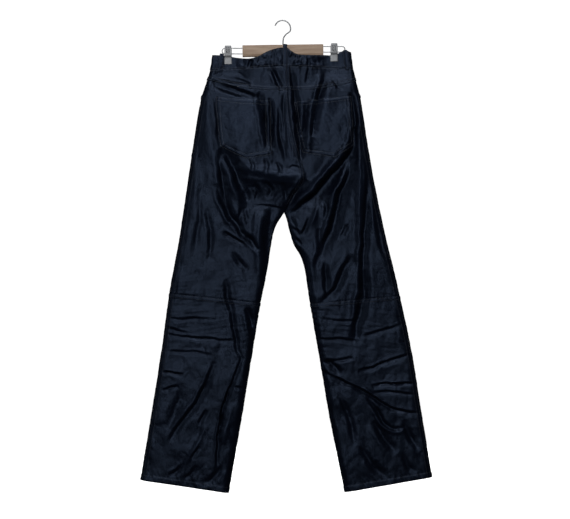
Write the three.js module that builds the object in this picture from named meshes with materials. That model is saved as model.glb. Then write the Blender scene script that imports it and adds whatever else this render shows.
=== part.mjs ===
// Leather trousers on a clip hanger, in millimetres, +Z up. The seat side faces -Y, and the origin is
// the inner top of the hanger's hook, where a rail or a peg carries it.
import * as THREE from 'three';

// Cloth sizes
const WALL = 1.6; // one thickness of leather
const BAND_WALL = 2.6; // the waistband is two layers
const PATCH_WALL = 1.4; // pockets, loops and the fly flap
const SEAM_GAP = 0.3; // between neighbouring pieces
const LAY_GAP = 0.35; // under a piece that lies on a panel
const LEAST_DEPTH = 4.2; // half depth of the garment in its deepest troughs
const EDGE_ROUNDING = 1.35; // width of a rounded side edge, in half depths
const CROTCH_BLEND = 90; // drop over which the inner edges close above the crotch

// Distances below the waist seam, measured down the leg
const BAND_HEIGHT = 40;
const POCKET_MOUTH_DROP = 62;
const CROTCH_DROP = 360;
const KNEE_DROP = 570;
const HEM_DROP = 1030;

// Clip hanger sizes
const BAR_WIDTH = 202;
const BAR_HEIGHT = 30;
const BAR_THICKNESS = 12;
const BAR_CENTRE = { x: 1, z: -74 };
const BAR_TILT = 0.014; // radians, the right end is higher
const WIRE_DIAMETER = 2.6;
const HOOK_DIAMETER = 3.4;
const HOOK_RADIUS = 20;
const CLIP_WIDTH = 18;
const JAW_PLATE = 1.5;
const CLIP_NIP = 3.2; // half thickness of the cloth inside the clips
const GRIP = { margin: 5, across: 22, down: 90 }; // how far the pinch fades beside and below a jaw
const JAW_BEND = { from: 16, to: 22 }; // heights on a jaw between which it bends out round its spring

const LEATHER = { color: 0x14171d, roughness: 0.42, metalness: 0 };
const WOOD = { color: 0xb59a80, roughness: 0.6, metalness: 0 };
const STEEL = { color: 0xb9bcc0, roughness: 0.25, metalness: 1 };

const BACK = -1;
const FRONT = 1;
const LEFT = -1;
const RIGHT = 1;

// The side seams, by the drop down the leg
const SIDE_SEAM = {
  [LEFT]: [
    { drop: -40, x: -176, z: -85 },
    { drop: 0, x: -181, z: -122 },
    { drop: 75, x: -204, z: -198 },
    { drop: 175, x: -221, z: -297 },
    { drop: 275, x: -236, z: -397 },
    { drop: 360, x: -247, z: -471 },
    { drop: 440, x: -259, z: -549 },
    { drop: 500, x: -270, z: -609 },
    { drop: 570, x: -283, z: -680 },
    { drop: 700, x: -301, z: -811 },
    { drop: 850, x: -325, z: -964 },
    { drop: 1030, x: -355, z: -1146 },
  ],
  [RIGHT]: [
    { drop: -40, x: 172, z: -79 },
    { drop: 0, x: 177, z: -119 },
    { drop: 75, x: 195, z: -195 },
    { drop: 175, x: 211, z: -296 },
    { drop: 275, x: 228, z: -396 },
    { drop: 360, x: 243, z: -470 },
    { drop: 440, x: 260, z: -548 },
    { drop: 500, x: 275, z: -608 },
    { drop: 570, x: 293, z: -686 },
    { drop: 700, x: 321, z: -815 },
    { drop: 850, x: 345, z: -962 },
    { drop: 1030, x: 374, z: -1139 },
  ],
};

// The inseams, from the crotch down
const INSEAM = {
  [LEFT]: [
    { drop: 360, x: 4, z: -480 },
    { drop: 380, x: -9, z: -499 },
    { drop: 405, x: -21, z: -524 },
    { drop: 440, x: -28, z: -559 },
    { drop: 500, x: -38, z: -624 },
    { drop: 570, x: -54, z: -704 },
    { drop: 700, x: -76, z: -838 },
    { drop: 850, x: -102, z: -995 },
    { drop: 1030, x: -134, z: -1179 },
  ],
  [RIGHT]: [
    { drop: 360, x: 4, z: -480 },
    { drop: 380, x: 11, z: -499 },
    { drop: 405, x: 17, z: -524 },
    { drop: 440, x: 28, z: -559 },
    { drop: 470, x: 45, z: -588 },
    { drop: 500, x: 55, z: -620 },
    { drop: 570, x: 68, z: -706 },
    { drop: 700, x: 91, z: -838 },
    { drop: 850, x: 117, z: -990 },
    { drop: 1030, x: 155, z: -1177 },
  ],
};

// The centre seam of the seat wanders into the folds, and the one of the fly hangs straight and lower.
const CENTRE_SEAM = {
  [BACK]: [
    { drop: -40, x: 14, z: -75 },
    { drop: 0, x: 14, z: -113 },
    { drop: 87, x: 14, z: -200 },
    { drop: 150, x: 20, z: -262 },
    { drop: 205, x: 31, z: -317 },
    { drop: 245, x: 44, z: -357 },
    { drop: 285, x: 47, z: -399 },
    { drop: 325, x: 24, z: -440 },
    { drop: 360, x: 4, z: -480 },
  ],
  [FRONT]: [
    { drop: -40, x: 4, z: -108 },
    { drop: 0, x: 4, z: -146 },
    { drop: 120, x: 4, z: -258 },
    { drop: 240, x: 4, z: -368 },
    { drop: 360, x: 4, z: -480 },
  ],
};

// Half the depth of the hanging garment, from the seam at its side edges to the face of a panel
const HALF_DEPTHS = [
  { drop: -40, depth: 13 },
  { drop: 0, depth: 14 },
  { drop: 75, depth: 18 },
  { drop: 175, depth: 22 },
  { drop: 275, depth: 22 },
  { drop: 360, depth: 19 },
  { drop: 440, depth: 17 },
  { drop: 570, depth: 16 },
  { drop: 850, depth: 15 },
  { drop: 1030, depth: 14 },
];

// Top edge of the back waistband, which stands up in a crumple at the centre
const BACK_BAND_TOP = [
  { x: -176, z: -85 },
  { x: -140, z: -87 },
  { x: -115, z: -92 },
  { x: -81, z: -94.5 },
  { x: -57, z: -87.5 },
  { x: -40, z: -78 },
  { x: -14, z: -69.5 },
  { x: 12, z: -68 },
  { x: 22, z: -76 },
  { x: 39, z: -84.5 },
  { x: 104, z: -85.5 },
  { x: 130, z: -85 },
  { x: 154, z: -74 },
  { x: 172, z: -78 },
];

// The largest folds. Each runs from one point to another, bowed sideways, and a negative depth is a ridge.
const FOLDS = {
  [BACK]: [
    { fromX: -189, fromZ: -175, toX: -156, toZ: -345, bow: -6, width: 10, depth: 7 },
    { fromX: -158, fromZ: -335, toX: -129, toZ: -515, bow: 8, width: 9, depth: 7 },
    { fromX: -163, fromZ: -345, toX: -94, toZ: -537, bow: 4, width: 9, depth: 7 },
    { fromX: -136, fromZ: -340, toX: -104, toZ: -425, bow: 0, width: 13, depth: 9 },
    { fromX: -185, fromZ: -180, toX: -176, toZ: -360, bow: -5, width: 12, depth: -4 },
    { fromX: -54, fromZ: -480, toX: -38, toZ: -590, bow: 4, width: 10, depth: 8 },
    { fromX: -145, fromZ: -529, toX: -92, toZ: -556, bow: 0, width: 8, depth: 5 },
    { fromX: -66, fromZ: -187, toX: -46, toZ: -322, bow: 0, width: 9, depth: 6 },
    { fromX: -38, fromZ: -190, toX: -38, toZ: -325, bow: 0, width: 13, depth: 9 },
    { fromX: -9, fromZ: -222, toX: 11, toZ: -350, bow: 3, width: 8, depth: 6 },
    { fromX: 60, fromZ: -205, toX: 46, toZ: -350, bow: 3, width: 9, depth: 6 },
    { fromX: 114, fromZ: -130, toX: 72, toZ: -310, bow: 4, width: 10, depth: 9 },
    { fromX: -112, fromZ: -362, toX: 52, toZ: -372, bow: 6, width: 24, depth: -8 },
    { fromX: -110, fromZ: -390, toX: 54, toZ: -408, bow: -4, width: 10, depth: 9 },
    { fromX: -84, fromZ: -440, toX: 8, toZ: -446, bow: 0, width: 26, depth: 7 },
    { fromX: 169, fromZ: -272, toX: 56, toZ: -488, bow: -10, width: 13, depth: 13 },
    { fromX: 128, fromZ: -345, toX: 58, toZ: -462, bow: -8, width: 12, depth: -7 },
    { fromX: 173, fromZ: -360, toX: 104, toZ: -582, bow: -8, width: 10, depth: 8 },
    { fromX: 192, fromZ: -190, toX: 194, toZ: -640, bow: -3, width: 10, depth: -5 },
    { fromX: 211, fromZ: -385, toX: 184, toZ: -787, bow: -3, width: 10, depth: 7 },
    { fromX: 173, fromZ: -585, toX: 91, toZ: -705, bow: -6, width: 9, depth: 6 },
    { fromX: 91, fromZ: -525, toX: 81, toZ: -618, bow: 0, width: 9, depth: 5 },
    { fromX: -286, fromZ: -782, toX: -76, toZ: -806, bow: 3, width: 10, depth: 5 },
    { fromX: -290, fromZ: -877, toX: -235, toZ: -883, bow: 0, width: 9, depth: 6 },
    { fromX: -167, fromZ: -850, toX: -286, toZ: -1072, bow: 8, width: 13, depth: 9 },
    { fromX: -104, fromZ: -850, toX: -171, toZ: -1117, bow: -6, width: 12, depth: 9 },
    { fromX: 196, fromZ: -871, toX: 311, toZ: -832, bow: 4, width: 10, depth: 5 },
    { fromX: 215, fromZ: -915, toX: 335, toZ: -905, bow: 4, width: 10, depth: 7 },
    { fromX: 105, fromZ: -882, toX: 341, toZ: -980, bow: 6, width: 12, depth: 10 },
    { fromX: 210, fromZ: -940, toX: 299, toZ: -1020, bow: -4, width: 11, depth: 8 },
  ],
  [FRONT]: [
    { fromX: -170, fromZ: -250, toX: -30, toZ: -440, bow: 10, width: 14, depth: 8 },
    { fromX: -205, fromZ: -330, toX: -60, toZ: -490, bow: 10, width: 13, depth: 8 },
    { fromX: -210, fromZ: -410, toX: -110, toZ: -560, bow: 8, width: 12, depth: 6 },
    { fromX: 170, fromZ: -240, toX: 36, toZ: -430, bow: -10, width: 14, depth: 8 },
    { fromX: 205, fromZ: -320, toX: 66, toZ: -480, bow: -10, width: 13, depth: 8 },
    { fromX: 215, fromZ: -400, toX: 120, toZ: -570, bow: -8, width: 12, depth: 6 },
    { fromX: -225, fromZ: -560, toX: -120, toZ: -690, bow: 6, width: 12, depth: 6 },
    { fromX: 235, fromZ: -550, toX: 140, toZ: -690, bow: -6, width: 12, depth: 6 },
    { fromX: -290, fromZ: -770, toX: -110, toZ: -800, bow: 6, width: 11, depth: 5 },
    { fromX: 300, fromZ: -770, toX: 120, toZ: -810, bow: -6, width: 11, depth: 5 },
    { fromX: -170, fromZ: -850, toX: -270, toZ: -1060, bow: 8, width: 12, depth: 6 },
    { fromX: 190, fromZ: -860, toX: 290, toZ: -1070, bow: -8, width: 12, depth: 6 },
    { fromX: 150, fromZ: -930, toX: 330, toZ: -960, bow: 6, width: 11, depth: 6 },
    { fromX: -300, fromZ: -910, toX: -160, toZ: -930, bow: 4, width: 11, depth: 5 },
  ],
};

// The two clips on their wire loops
const CLIPS = [
  { name: 'left', side: LEFT, x: -136, top: -57, bottom: -108, wireTop: -68, wireBottom: -82, end: -151 },
  { name: 'right', side: RIGHT, x: 129, top: -51, bottom: -101, wireTop: -63.5, wireBottom: -77.5, end: 156 },
];

// Corners of the back patch pockets, each as a share of the way in from the side edge and a drop
const POCKETS = {
  [LEFT]: {
    top: [{ share: 0.18, drop: 70 }, { share: 0.5, drop: 78 }, { share: 0.81, drop: 84 }],
    low: [{ share: 0.29, drop: 188 }, { share: 0.5, drop: 222 }, { share: 0.76, drop: 212 }],
  },
  [RIGHT]: {
    top: [{ share: 0.17, drop: 68 }, { share: 0.5, drop: 78 }, { share: 0.93, drop: 88 }],
    low: [{ share: 0.22, drop: 186 }, { share: 0.53, drop: 222 }, { share: 0.9, drop: 214 }],
  },
};
const POCKET_LINES_AT_CENTRE = { top: 89, low: 213 };

// Belt loops: where each stands, how far it reaches below the waist seam and above the band, and how
// far its foot lies off the cloth
const BELT_LOOPS = [
  { name: 'belt_loop_back_left', face: BACK, x: -152.8, below: 5, above: 4, foot: 0.85 },
  { name: 'belt_loop_back_centre', face: BACK, x: 6.5, below: 2, above: 8, foot: 0.1 },
  { name: 'belt_loop_back_right', face: BACK, x: 158.5, below: 3, above: 1, foot: 0.3 },
  { name: 'belt_loop_front_left', face: FRONT, x: -88, below: 4, above: 1, foot: 0.1 },
  { name: 'belt_loop_front_right', face: FRONT, x: 90, below: 4, above: 1, foot: 0.1 },
];
const LOOP_WIDTH = 10.5;

const clamp01 = (value) => Math.min(1, Math.max(0, value));
const mix = (a, b, share) => a + (b - a) * share;
const smoothStep = (value) => {
  const t = clamp01(value);
  return t * t * (3 - 2 * t);
};

// A smooth curve through a table's rows: the value of one column where the key column is at `at`
function curve(rows, key, column, at) {
  const last = rows.length - 1;
  let i = 0;
  while (i < last - 1 && rows[i + 1][key] < at) i += 1;
  const slope = (n) => {
    const a = rows[Math.max(0, n - 1)];
    const b = rows[Math.min(last, n + 1)];
    return (b[column] - a[column]) / (b[key] - a[key]);
  };
  const span = rows[i + 1][key] - rows[i][key];
  const t = clamp01((at - rows[i][key]) / span);
  const start = rows[i][column];
  const end = rows[i + 1][column];
  const bend = slope(i) * span * t * (1 - t) * (1 - t) - slope(i + 1) * span * t * t * (1 - t);
  return start * (1 + 2 * t) * (1 - t) * (1 - t) + end * t * t * (3 - 2 * t) + bend;
}

// Quarter of an ellipse: 0 at a side edge, 1 from one rounding width inward
const edgeRise = (share) => (share >= 1 ? 1 : Math.sqrt(1 - (1 - clamp01(share)) ** 2));

// How far the folds push a point of the seat side or the fly side towards the middle of the garment
function foldDepth(face, x, z) {
  let sum = 0;
  for (const fold of FOLDS[face]) {
    const alongX = fold.toX - fold.fromX;
    const alongZ = fold.toZ - fold.fromZ;
    const length = Math.hypot(alongX, alongZ);
    const share = ((x - fold.fromX) * alongX + (z - fold.fromZ) * alongZ) / (length * length);
    if (share < 0 || share > 1) continue;
    const aside = ((x - fold.fromX) * alongZ - (z - fold.fromZ) * alongX) / length;
    const off = (aside - 4 * fold.bow * share * (1 - share)) / fold.width;
    sum += fold.depth * Math.sin(Math.PI * share) ** 0.7 * Math.exp(-off * off);
  }
  return sum;
}

// How much of the clips' grip reaches a point, 1 inside the jaws
function clipGrip(x, z) {
  let most = 0;
  for (const clip of CLIPS) {
    const across = clamp01((Math.abs(x - clip.x) - CLIP_WIDTH / 2 - GRIP.margin) / GRIP.across);
    const down = clamp01((clip.bottom - z) / GRIP.down);
    most = Math.max(most, (1 - smoothStep(across)) * (1 - smoothStep(down)));
  }
  return most;
}

const placeOn = (rows, drop) => ({ x: curve(rows, 'drop', 'x', drop), z: curve(rows, 'drop', 'z', drop) });

// The inner edge of a leg panel, which is a centre seam down to the crotch
function innerEdge(side, face, drop) {
  return placeOn(drop <= CROTCH_DROP ? CENTRE_SEAM[face] : INSEAM[side], drop);
}

// Where a share of the way in from the side edge lies, before the garment gets its depth
function flatPoint(side, face, share, drop) {
  const outer = placeOn(SIDE_SEAM[side], drop);
  const inner = innerEdge(side, face, drop);
  if (drop > 0) inner.x += (side * SEAM_GAP) / 2;
  const x = mix(outer.x, inner.x, share);
  const z = mix(outer.z, inner.z, share);
  return { x, z, width: Math.hypot(outer.x - inner.x, outer.z - inner.z) };
}

// A point of the garment's outer face, with negative drops on the waistband
function garmentPoint(side, face, share, drop) {
  const spot = flatPoint(side, face, share, drop);
  if (drop < 0 && face === BACK) {
    const seam = flatPoint(side, face, share, 0);
    spot.z = mix(seam.z, curve(BACK_BAND_TOP, 'x', 'z', spot.x), -drop / BAND_HEIGHT);
  }
  const plain = curve(HALF_DEPTHS, 'drop', 'depth', drop);
  const rounding = plain * EDGE_ROUNDING;
  const closing = smoothStep((drop - CROTCH_DROP + CROTCH_BLEND) / CROTCH_BLEND);
  const innerRise = mix(1, edgeRise(((1 - share) * spot.width) / rounding), closing);
  const rise = edgeRise((share * spot.width) / rounding) * innerRise;
  const folded = Math.max(LEAST_DEPTH, plain - foldDepth(face, spot.x, spot.z));
  const depth = mix(folded, CLIP_NIP, clipGrip(spot.x, spot.z));
  const least = drop < CROTCH_DROP - 1 && share > 0.5 ? CLIP_NIP : 0;
  return new THREE.Vector3(spot.x, face * (SEAM_GAP / 2 + Math.max(least, depth * rise)), spot.z);
}

// The outward normal there. At a seam it stays in the seam's plane, so that neighbours end face to face.
function garmentNormal(side, face, share, drop) {
  if (share <= 0) return new THREE.Vector3(side, 0, 0);
  if (share >= 1 && drop > CROTCH_DROP - 1) return new THREE.Vector3(-side, 0, 0);
  const step = 0.02;
  const across = garmentPoint(side, face, Math.min(1, share + step), drop);
  across.sub(garmentPoint(side, face, Math.max(0, share - step), drop));
  const down = garmentPoint(side, face, share, drop + 5);
  down.sub(garmentPoint(side, face, share, drop - 5));
  const normal = across.cross(down).multiplyScalar(-side * face);
  if (share >= 1) normal.x = 0;
  return normal.normalize();
}

// A closed wall between two grids of points, each a list of rows
function wall(outside, inside) {
  const rows = outside.length;
  const columns = outside[0].length;
  const points = [...outside.flat(), ...inside.flat()];
  const positions = points.flatMap((point) => [point.x, point.y, point.z]);
  const outerAt = (i, j) => i * columns + j;
  const innerAt = (i, j) => rows * columns + i * columns + j;
  const faces = [];
  const quad = (a, b, c, d) => faces.push(a, b, c, a, c, d);
  for (let i = 0; i < rows - 1; i += 1) {
    for (let j = 0; j < columns - 1; j += 1) {
      quad(outerAt(i, j), outerAt(i + 1, j), outerAt(i + 1, j + 1), outerAt(i, j + 1));
      quad(innerAt(i, j), innerAt(i, j + 1), innerAt(i + 1, j + 1), innerAt(i + 1, j));
    }
    quad(outerAt(i, 0), innerAt(i, 0), innerAt(i + 1, 0), outerAt(i + 1, 0));
    const end = columns - 1;
    quad(outerAt(i, end), outerAt(i + 1, end), innerAt(i + 1, end), innerAt(i, end));
  }
  for (let j = 0; j < columns - 1; j += 1) {
    quad(outerAt(0, j), outerAt(0, j + 1), innerAt(0, j + 1), innerAt(0, j));
    const end = rows - 1;
    quad(outerAt(end, j), innerAt(end, j), innerAt(end, j + 1), outerAt(end, j + 1));
  }
  const geometry = new THREE.BufferGeometry();
  geometry.setAttribute('position', new THREE.Float32BufferAttribute(positions, 3));
  geometry.setIndex(faces);
  return facingOut(geometry);
}

// Turns every face over if the closed geometry faces inwards
function facingOut(geometry) {
  const at = geometry.getAttribute('position');
  const index = geometry.getIndex();
  const corner = (n) => new THREE.Vector3().fromBufferAttribute(at, index.getX(n));
  let volume = 0;
  for (let n = 0; n < index.count; n += 3) {
    volume += corner(n).dot(corner(n + 1).cross(corner(n + 2)));
  }
  if (volume < 0) {
    for (let n = 0; n < index.count; n += 3) {
      const second = index.getX(n + 1);
      index.setX(n + 1, index.getX(n + 2));
      index.setX(n + 2, second);
    }
  }
  geometry.computeVertexNormals();
  return geometry;
}

// Evenly spaced shares from 0 to 1, drawn closer together towards both ends by `crowding`
function shares(count, crowding) {
  return Array.from({ length: count + 1 }, (_, i) => {
    const t = i / count;
    return t - crowding * Math.sin(2 * Math.PI * t);
  });
}

// A wall of leather over a grid of places on the garment, each with a side, a share and a drop
function clothWall(face, grid, lift = 0, thickness = WALL) {
  const outside = [];
  const inside = [];
  for (const row of grid) {
    const points = row.map(({ side, share, drop }) => garmentPoint(side, face, share, drop));
    const normals = row.map(({ side, share, drop }) => garmentNormal(side, face, share, drop));
    outside.push(points.map((point, n) => point.clone().addScaledVector(normals[n], lift)));
    inside.push(points.map((point, n) => point.clone().addScaledVector(normals[n], lift - thickness)));
  }
  return wall(outside, inside);
}

// Steps from 0 to 1 that leave out the start, so that stages of rows can follow each other
const steps = (count) => Array.from({ length: count }, (_, i) => (i + 1) / count);

// Drop of the V-shaped yoke seam, which reaches lower at the centre back
const YOKE_AT_SIDE = { [LEFT]: 26, [RIGHT]: 32 };
const YOKE_AT_CENTRE = 61;
function yokeDrop(side, share) {
  return mix(YOKE_AT_SIDE[side], YOKE_AT_CENTRE, Math.sin((Math.PI / 2) * share));
}

// Drop of the curved edge of a front pocket mouth
const MOUTH_SHARE = 0.45;
const MOUTH_POWER = 2.2; // how square the curve's corner is, 2 for a quarter of an ellipse
function mouthDrop(share) {
  if (share >= MOUTH_SHARE) return 0;
  return POCKET_MOUTH_DROP * (1 - (share / MOUTH_SHARE) ** MOUTH_POWER) ** (1 / MOUTH_POWER);
}

const COLUMNS = 16;
const ROWS = { band: 3, yoke: 3, facing: 3, fly: 8, belowPocket: 6, thigh: 7, front: 13, lowerLeg: 11 };
const EVEN_SHARES = shares(COLUMNS, 0.12);
const POCKET_FIRST_COLUMN = 4;
const POCKET_HALF_COLUMNS = 4;
const POCKET_ROWS = 7;

// The back panel's columns pass through the corners of its pocket, on the pocket's top or low edge
function pocketShares(corners) {
  const [out, middle, inner] = corners.map((corner) => corner.share);
  const rest = COLUMNS - POCKET_FIRST_COLUMN - 2 * POCKET_HALF_COLUMNS;
  return [
    0,
    ...[0.14, 0.36, 0.66, 1].map((step) => step * out),
    ...steps(POCKET_HALF_COLUMNS).map((step) => mix(out, middle, step)),
    ...steps(POCKET_HALF_COLUMNS).map((step) => mix(middle, inner, step)),
    ...steps(rest).map((step) => mix(inner, 1, step)),
  ];
}

// The level of a pocket's top or low edge at a share, carried on to the side seam and the centre seam
function pocketLine(corners, atCentre, share) {
  const line = [{ share: 0, drop: corners[0].drop }, ...corners, { share: 1, drop: atCentre }];
  let n = 0;
  while (n < line.length - 2 && line[n + 1].share < share) n += 1;
  const [from, to] = [line[n], line[n + 1]];
  return mix(from.drop, to.drop, clamp01((share - from.share) / (to.share - from.share)));
}

// Rows of the back panel: from the yoke to the pocket, down the pocket, to the crotch and to the knee
function backGrid(side) {
  const { top, low } = POCKETS[side];
  const topShares = pocketShares(top);
  const lowShares = pocketShares(low);
  const topAt = (share) => pocketLine(top, POCKET_LINES_AT_CENTRE.top, share);
  const lowAt = (share) => pocketLine(low, POCKET_LINES_AT_CENTRE.low, share);
  const row = (from, to, step, place) => from.map((start, j) => {
    const share = mix(start, to[j], step);
    return { side, share, drop: place(share, start, to[j]) };
  });
  return [
    row(topShares, topShares, 0, (share) => yokeDrop(side, share) + SEAM_GAP / 2),
    row(topShares, topShares, 0, topAt),
    ...steps(POCKET_ROWS).map((step) => row(topShares, lowShares, step, (share, from, to) =>
      mix(topAt(from), lowAt(to), step))),
    ...steps(ROWS.belowPocket).map((step) => row(lowShares, EVEN_SHARES, step, (share, from) =>
      mix(lowAt(from), CROTCH_DROP, step))),
    ...steps(ROWS.thigh).map((step) => row(EVEN_SHARES, EVEN_SHARES, step, () =>
      mix(CROTCH_DROP, KNEE_DROP - SEAM_GAP / 2, step))),
  ];
}

// A back pocket is the panel's own grid under it, moved out
function patchPocket(side) {
  const rows = backGrid(side).slice(1, 2 + POCKET_ROWS);
  const last = POCKET_FIRST_COLUMN + 2 * POCKET_HALF_COLUMNS;
  const grid = rows.map((row) => row.slice(POCKET_FIRST_COLUMN, last + 1));
  return clothWall(BACK, grid, LAY_GAP + PATCH_WALL, PATCH_WALL);
}

function yoke(side) {
  const across = pocketShares(POCKETS[side].top);
  const grid = [0, ...steps(ROWS.yoke)].map((down) => across.map((share) => {
    const drop = mix(SEAM_GAP / 2, yokeDrop(side, share) - SEAM_GAP / 2, down);
    return { side, share, drop };
  }));
  return clothWall(BACK, grid);
}

// The front panel is cut away along the pocket mouth, so its columns crowd up to the mouth's end
const MOUTH_COLUMNS = 7;
const MOUTH_SHARES = [
  ...[0, 0.12, 0.32, 0.56, 0.76, 0.9, 0.98, 1].map((step) => step * MOUTH_SHARE),
  ...steps(COLUMNS - MOUTH_COLUMNS).map((step) => mix(MOUTH_SHARE, 1, step)),
];

function frontGrid(side) {
  return [
    ...[0, ...steps(ROWS.front)].map((step) => MOUTH_SHARES.map((start, j) => {
      const share = mix(start, EVEN_SHARES[j], step);
      return { side, share, drop: mix(mouthDrop(start) + SEAM_GAP / 2, CROTCH_DROP, step) };
    })),
    ...steps(ROWS.thigh).map((step) => EVEN_SHARES.map((share) => {
      const drop = mix(CROTCH_DROP, KNEE_DROP - SEAM_GAP / 2, step);
      return { side, share, drop };
    })),
  ];
}

// The facing fills the pocket mouth a little below the panel's face, and ends along its cut edge
const FACING_SINK = 0.8;
const MOUTH_GAP = 1.4;
function pocketFacing(side) {
  const across = MOUTH_SHARES.slice(0, MOUTH_COLUMNS);
  const grid = [0, ...steps(ROWS.facing)].map((down) => across.map((share) => {
    const drop = mix(SEAM_GAP / 2, mouthDrop(share) - MOUTH_GAP, down);
    return { side, share, drop };
  }));
  return clothWall(FRONT, grid, -FACING_SINK);
}

function lowerLeg(side, face) {
  const grid = [0, ...steps(ROWS.lowerLeg)].map((down) => EVEN_SHARES.map((share) => {
    const drop = mix(KNEE_DROP + SEAM_GAP / 2, HEM_DROP, down);
    return { side, share, drop };
  }));
  return clothWall(face, grid);
}

// The back waistband runs from the left side seam over the centre to the right one
function backBand() {
  const half = shares(20, 0.04);
  const columns = [
    ...half.map((share) => ({ side: LEFT, share })),
    ...half.slice(0, -1).reverse().map((share) => ({ side: RIGHT, share })),
  ];
  return bandWall(BACK, columns);
}

const HALF_WAIST = 185; // width of a panel at the waist
function frontBand(side) {
  const toCentre = 1 - SEAM_GAP / 2 / HALF_WAIST;
  return bandWall(FRONT, shares(18, 0.04).map((step) => ({ side, share: step * toCentre })));
}

function bandWall(face, columns) {
  const grid = [0, ...steps(ROWS.band)].map((rise) => columns.map(({ side, share }) => {
    const drop = mix(-SEAM_GAP / 2, -BAND_HEIGHT, rise);
    return { side, share, drop };
  }));
  return clothWall(face, grid, 0, BAND_WALL);
}

// The share at which a place x lies on the waistband
function shareAt(face, x) {
  const side = x < CENTRE_SEAM[face][1].x ? LEFT : RIGHT;
  const outer = placeOn(SIDE_SEAM[side], -BAND_HEIGHT / 2).x;
  const inner = innerEdge(side, face, -BAND_HEIGHT / 2).x;
  return { side, share: (x - outer) / (inner - outer) };
}

// A belt loop lies over the band from just below its seam to just above its top edge
function beltLoop({ face, x, below, above, foot }) {
  const outside = [];
  const inside = [];
  const rows = [
    { drop: below, lift: foot, over: 0 },
    { drop: -BAND_HEIGHT * 0.2, lift: 1, over: 0 },
    { drop: -BAND_HEIGHT * 0.6, lift: 1.6, over: 0 },
    { drop: -BAND_HEIGHT, lift: 1, over: above },
  ];
  for (const row of rows) {
    const outerRow = [];
    const innerRow = [];
    for (const step of [-0.5, -0.2, 0.2, 0.5]) {
      const { side, share } = shareAt(face, x + step * LOOP_WIDTH);
      const point = garmentPoint(side, face, share, row.drop);
      const lift = new THREE.Vector3(0, face * (LAY_GAP + row.lift), row.over);
      innerRow.push(point.clone().add(lift));
      outerRow.push(innerRow.at(-1).clone().add(new THREE.Vector3(0, face * PATCH_WALL, 0)));
    }
    outside.push(outerRow);
    inside.push(innerRow);
  }
  return wall(outside, inside);
}

// The fly flap runs down from the waistband beside the centre front and curves in to it at its foot
const FLY_WIDTH = 38;
const FLY_DROP = 165;
function flyFlap() {
  const foot = (inward) => FLY_DROP - FLY_WIDTH * (1 - Math.sqrt(1 - (inward / FLY_WIDTH) ** 2));
  const grid = [0, ...steps(ROWS.fly)].map((down) => [1, 0.8, 0.6, 0.4, 0.2, 0].map((step) => {
    const inward = step * FLY_WIDTH;
    return { side: LEFT, share: 1 - inward / HALF_WAIST, drop: mix(1, foot(inward), down) };
  }));
  return clothWall(FRONT, grid, LAY_GAP + PATCH_WALL, PATCH_WALL);
}

const BUTTON = { x: -9, z: -127, radius: 8.5, height: 3, lift: 0.6, sides: 20 };
function waistButton() {
  const { side, share } = shareAt(FRONT, BUTTON.x);
  const face = garmentPoint(side, FRONT, share, -BAND_HEIGHT / 2);
  const geometry = new THREE.CylinderGeometry(BUTTON.radius, BUTTON.radius, BUTTON.height, BUTTON.sides);
  return geometry.translate(BUTTON.x, face.y + BUTTON.lift + BUTTON.height / 2, BUTTON.z);
}

// A round wire along a smooth path in the plane of the hanger
function wire(points, diameter, steps) {
  const path = new THREE.CatmullRomCurve3(points.map(({ x, z }) => new THREE.Vector3(x, 0, z)));
  const section = new THREE.Shape().absarc(0, 0, diameter / 2, 0, 2 * Math.PI);
  return new THREE.ExtrudeGeometry(section, { steps, extrudePath: path, curveSegments: 4 });
}

// A section in Y and Z, drawn out along X and centred on it
function alongX(section, width) {
  const options = { depth: width, bevelEnabled: false, curveSegments: 8 };
  const geometry = new THREE.ExtrudeGeometry(section, options).translate(0, 0, -width / 2);
  const [x, y, z] = [new THREE.Vector3(1, 0, 0), new THREE.Vector3(0, 1, 0), new THREE.Vector3(0, 0, 1)];
  return geometry.applyMatrix4(new THREE.Matrix4().makeBasis(y, z, x));
}

function hangerBar() {
  const half = BAR_HEIGHT / 2 - BAR_THICKNESS / 2;
  const section = new THREE.Shape();
  section.absarc(0, half, BAR_THICKNESS / 2, 0, Math.PI);
  section.absarc(0, -half, BAR_THICKNESS / 2, Math.PI, 2 * Math.PI);
  return alongX(section, BAR_WIDTH);
}

// The hook opens to the left, and its stem ends on the bar
const HOOK_ANGLES = [160, 130, 100, 70, 40, 10, -20];
const HOOK_STEM = [{ x: 9, z: -33 }, { x: 2.5, z: -43 }];
function hangerHook() {
  const rise = HOOK_DIAMETER / 2;
  const foot = BAR_CENTRE.z + BAR_HEIGHT / 2 + SEAM_GAP;
  const bow = HOOK_ANGLES.map((degrees) => {
    const angle = THREE.MathUtils.degToRad(degrees);
    return { x: HOOK_RADIUS * Math.cos(angle), z: rise - HOOK_RADIUS + HOOK_RADIUS * Math.sin(angle) };
  });
  return wire([...bow, ...HOOK_STEM, { x: BAR_CENTRE.x, z: foot }], HOOK_DIAMETER, 30);
}

// A wire loop leaves the bar's end, turns round outside the clip and comes back
const LOOP_START = 0.45; // clear of the bar's tilted end
const DIAGONAL = Math.SQRT1_2;
function wireLoop(clip) {
  const radius = (clip.wireTop - clip.wireBottom) / 2;
  const middle = (clip.wireTop + clip.wireBottom) / 2;
  const start = BAR_CENTRE.x + clip.side * (BAR_WIDTH / 2 + LOOP_START);
  const turn = clip.end - clip.side * radius;
  const points = [
    { x: start, z: clip.wireTop },
    { x: mix(start, turn, 0.5), z: clip.wireTop },
    { x: turn, z: clip.wireTop },
    { x: turn + clip.side * radius * DIAGONAL, z: middle + radius * DIAGONAL },
    { x: clip.end, z: middle },
    { x: turn + clip.side * radius * DIAGONAL, z: middle - radius * DIAGONAL },
    { x: turn, z: clip.wireBottom },
    { x: mix(start, turn, 0.5), z: clip.wireBottom },
    { x: start, z: clip.wireBottom },
  ];
  return wire(points, WIRE_DIAMETER, 22);
}

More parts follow.
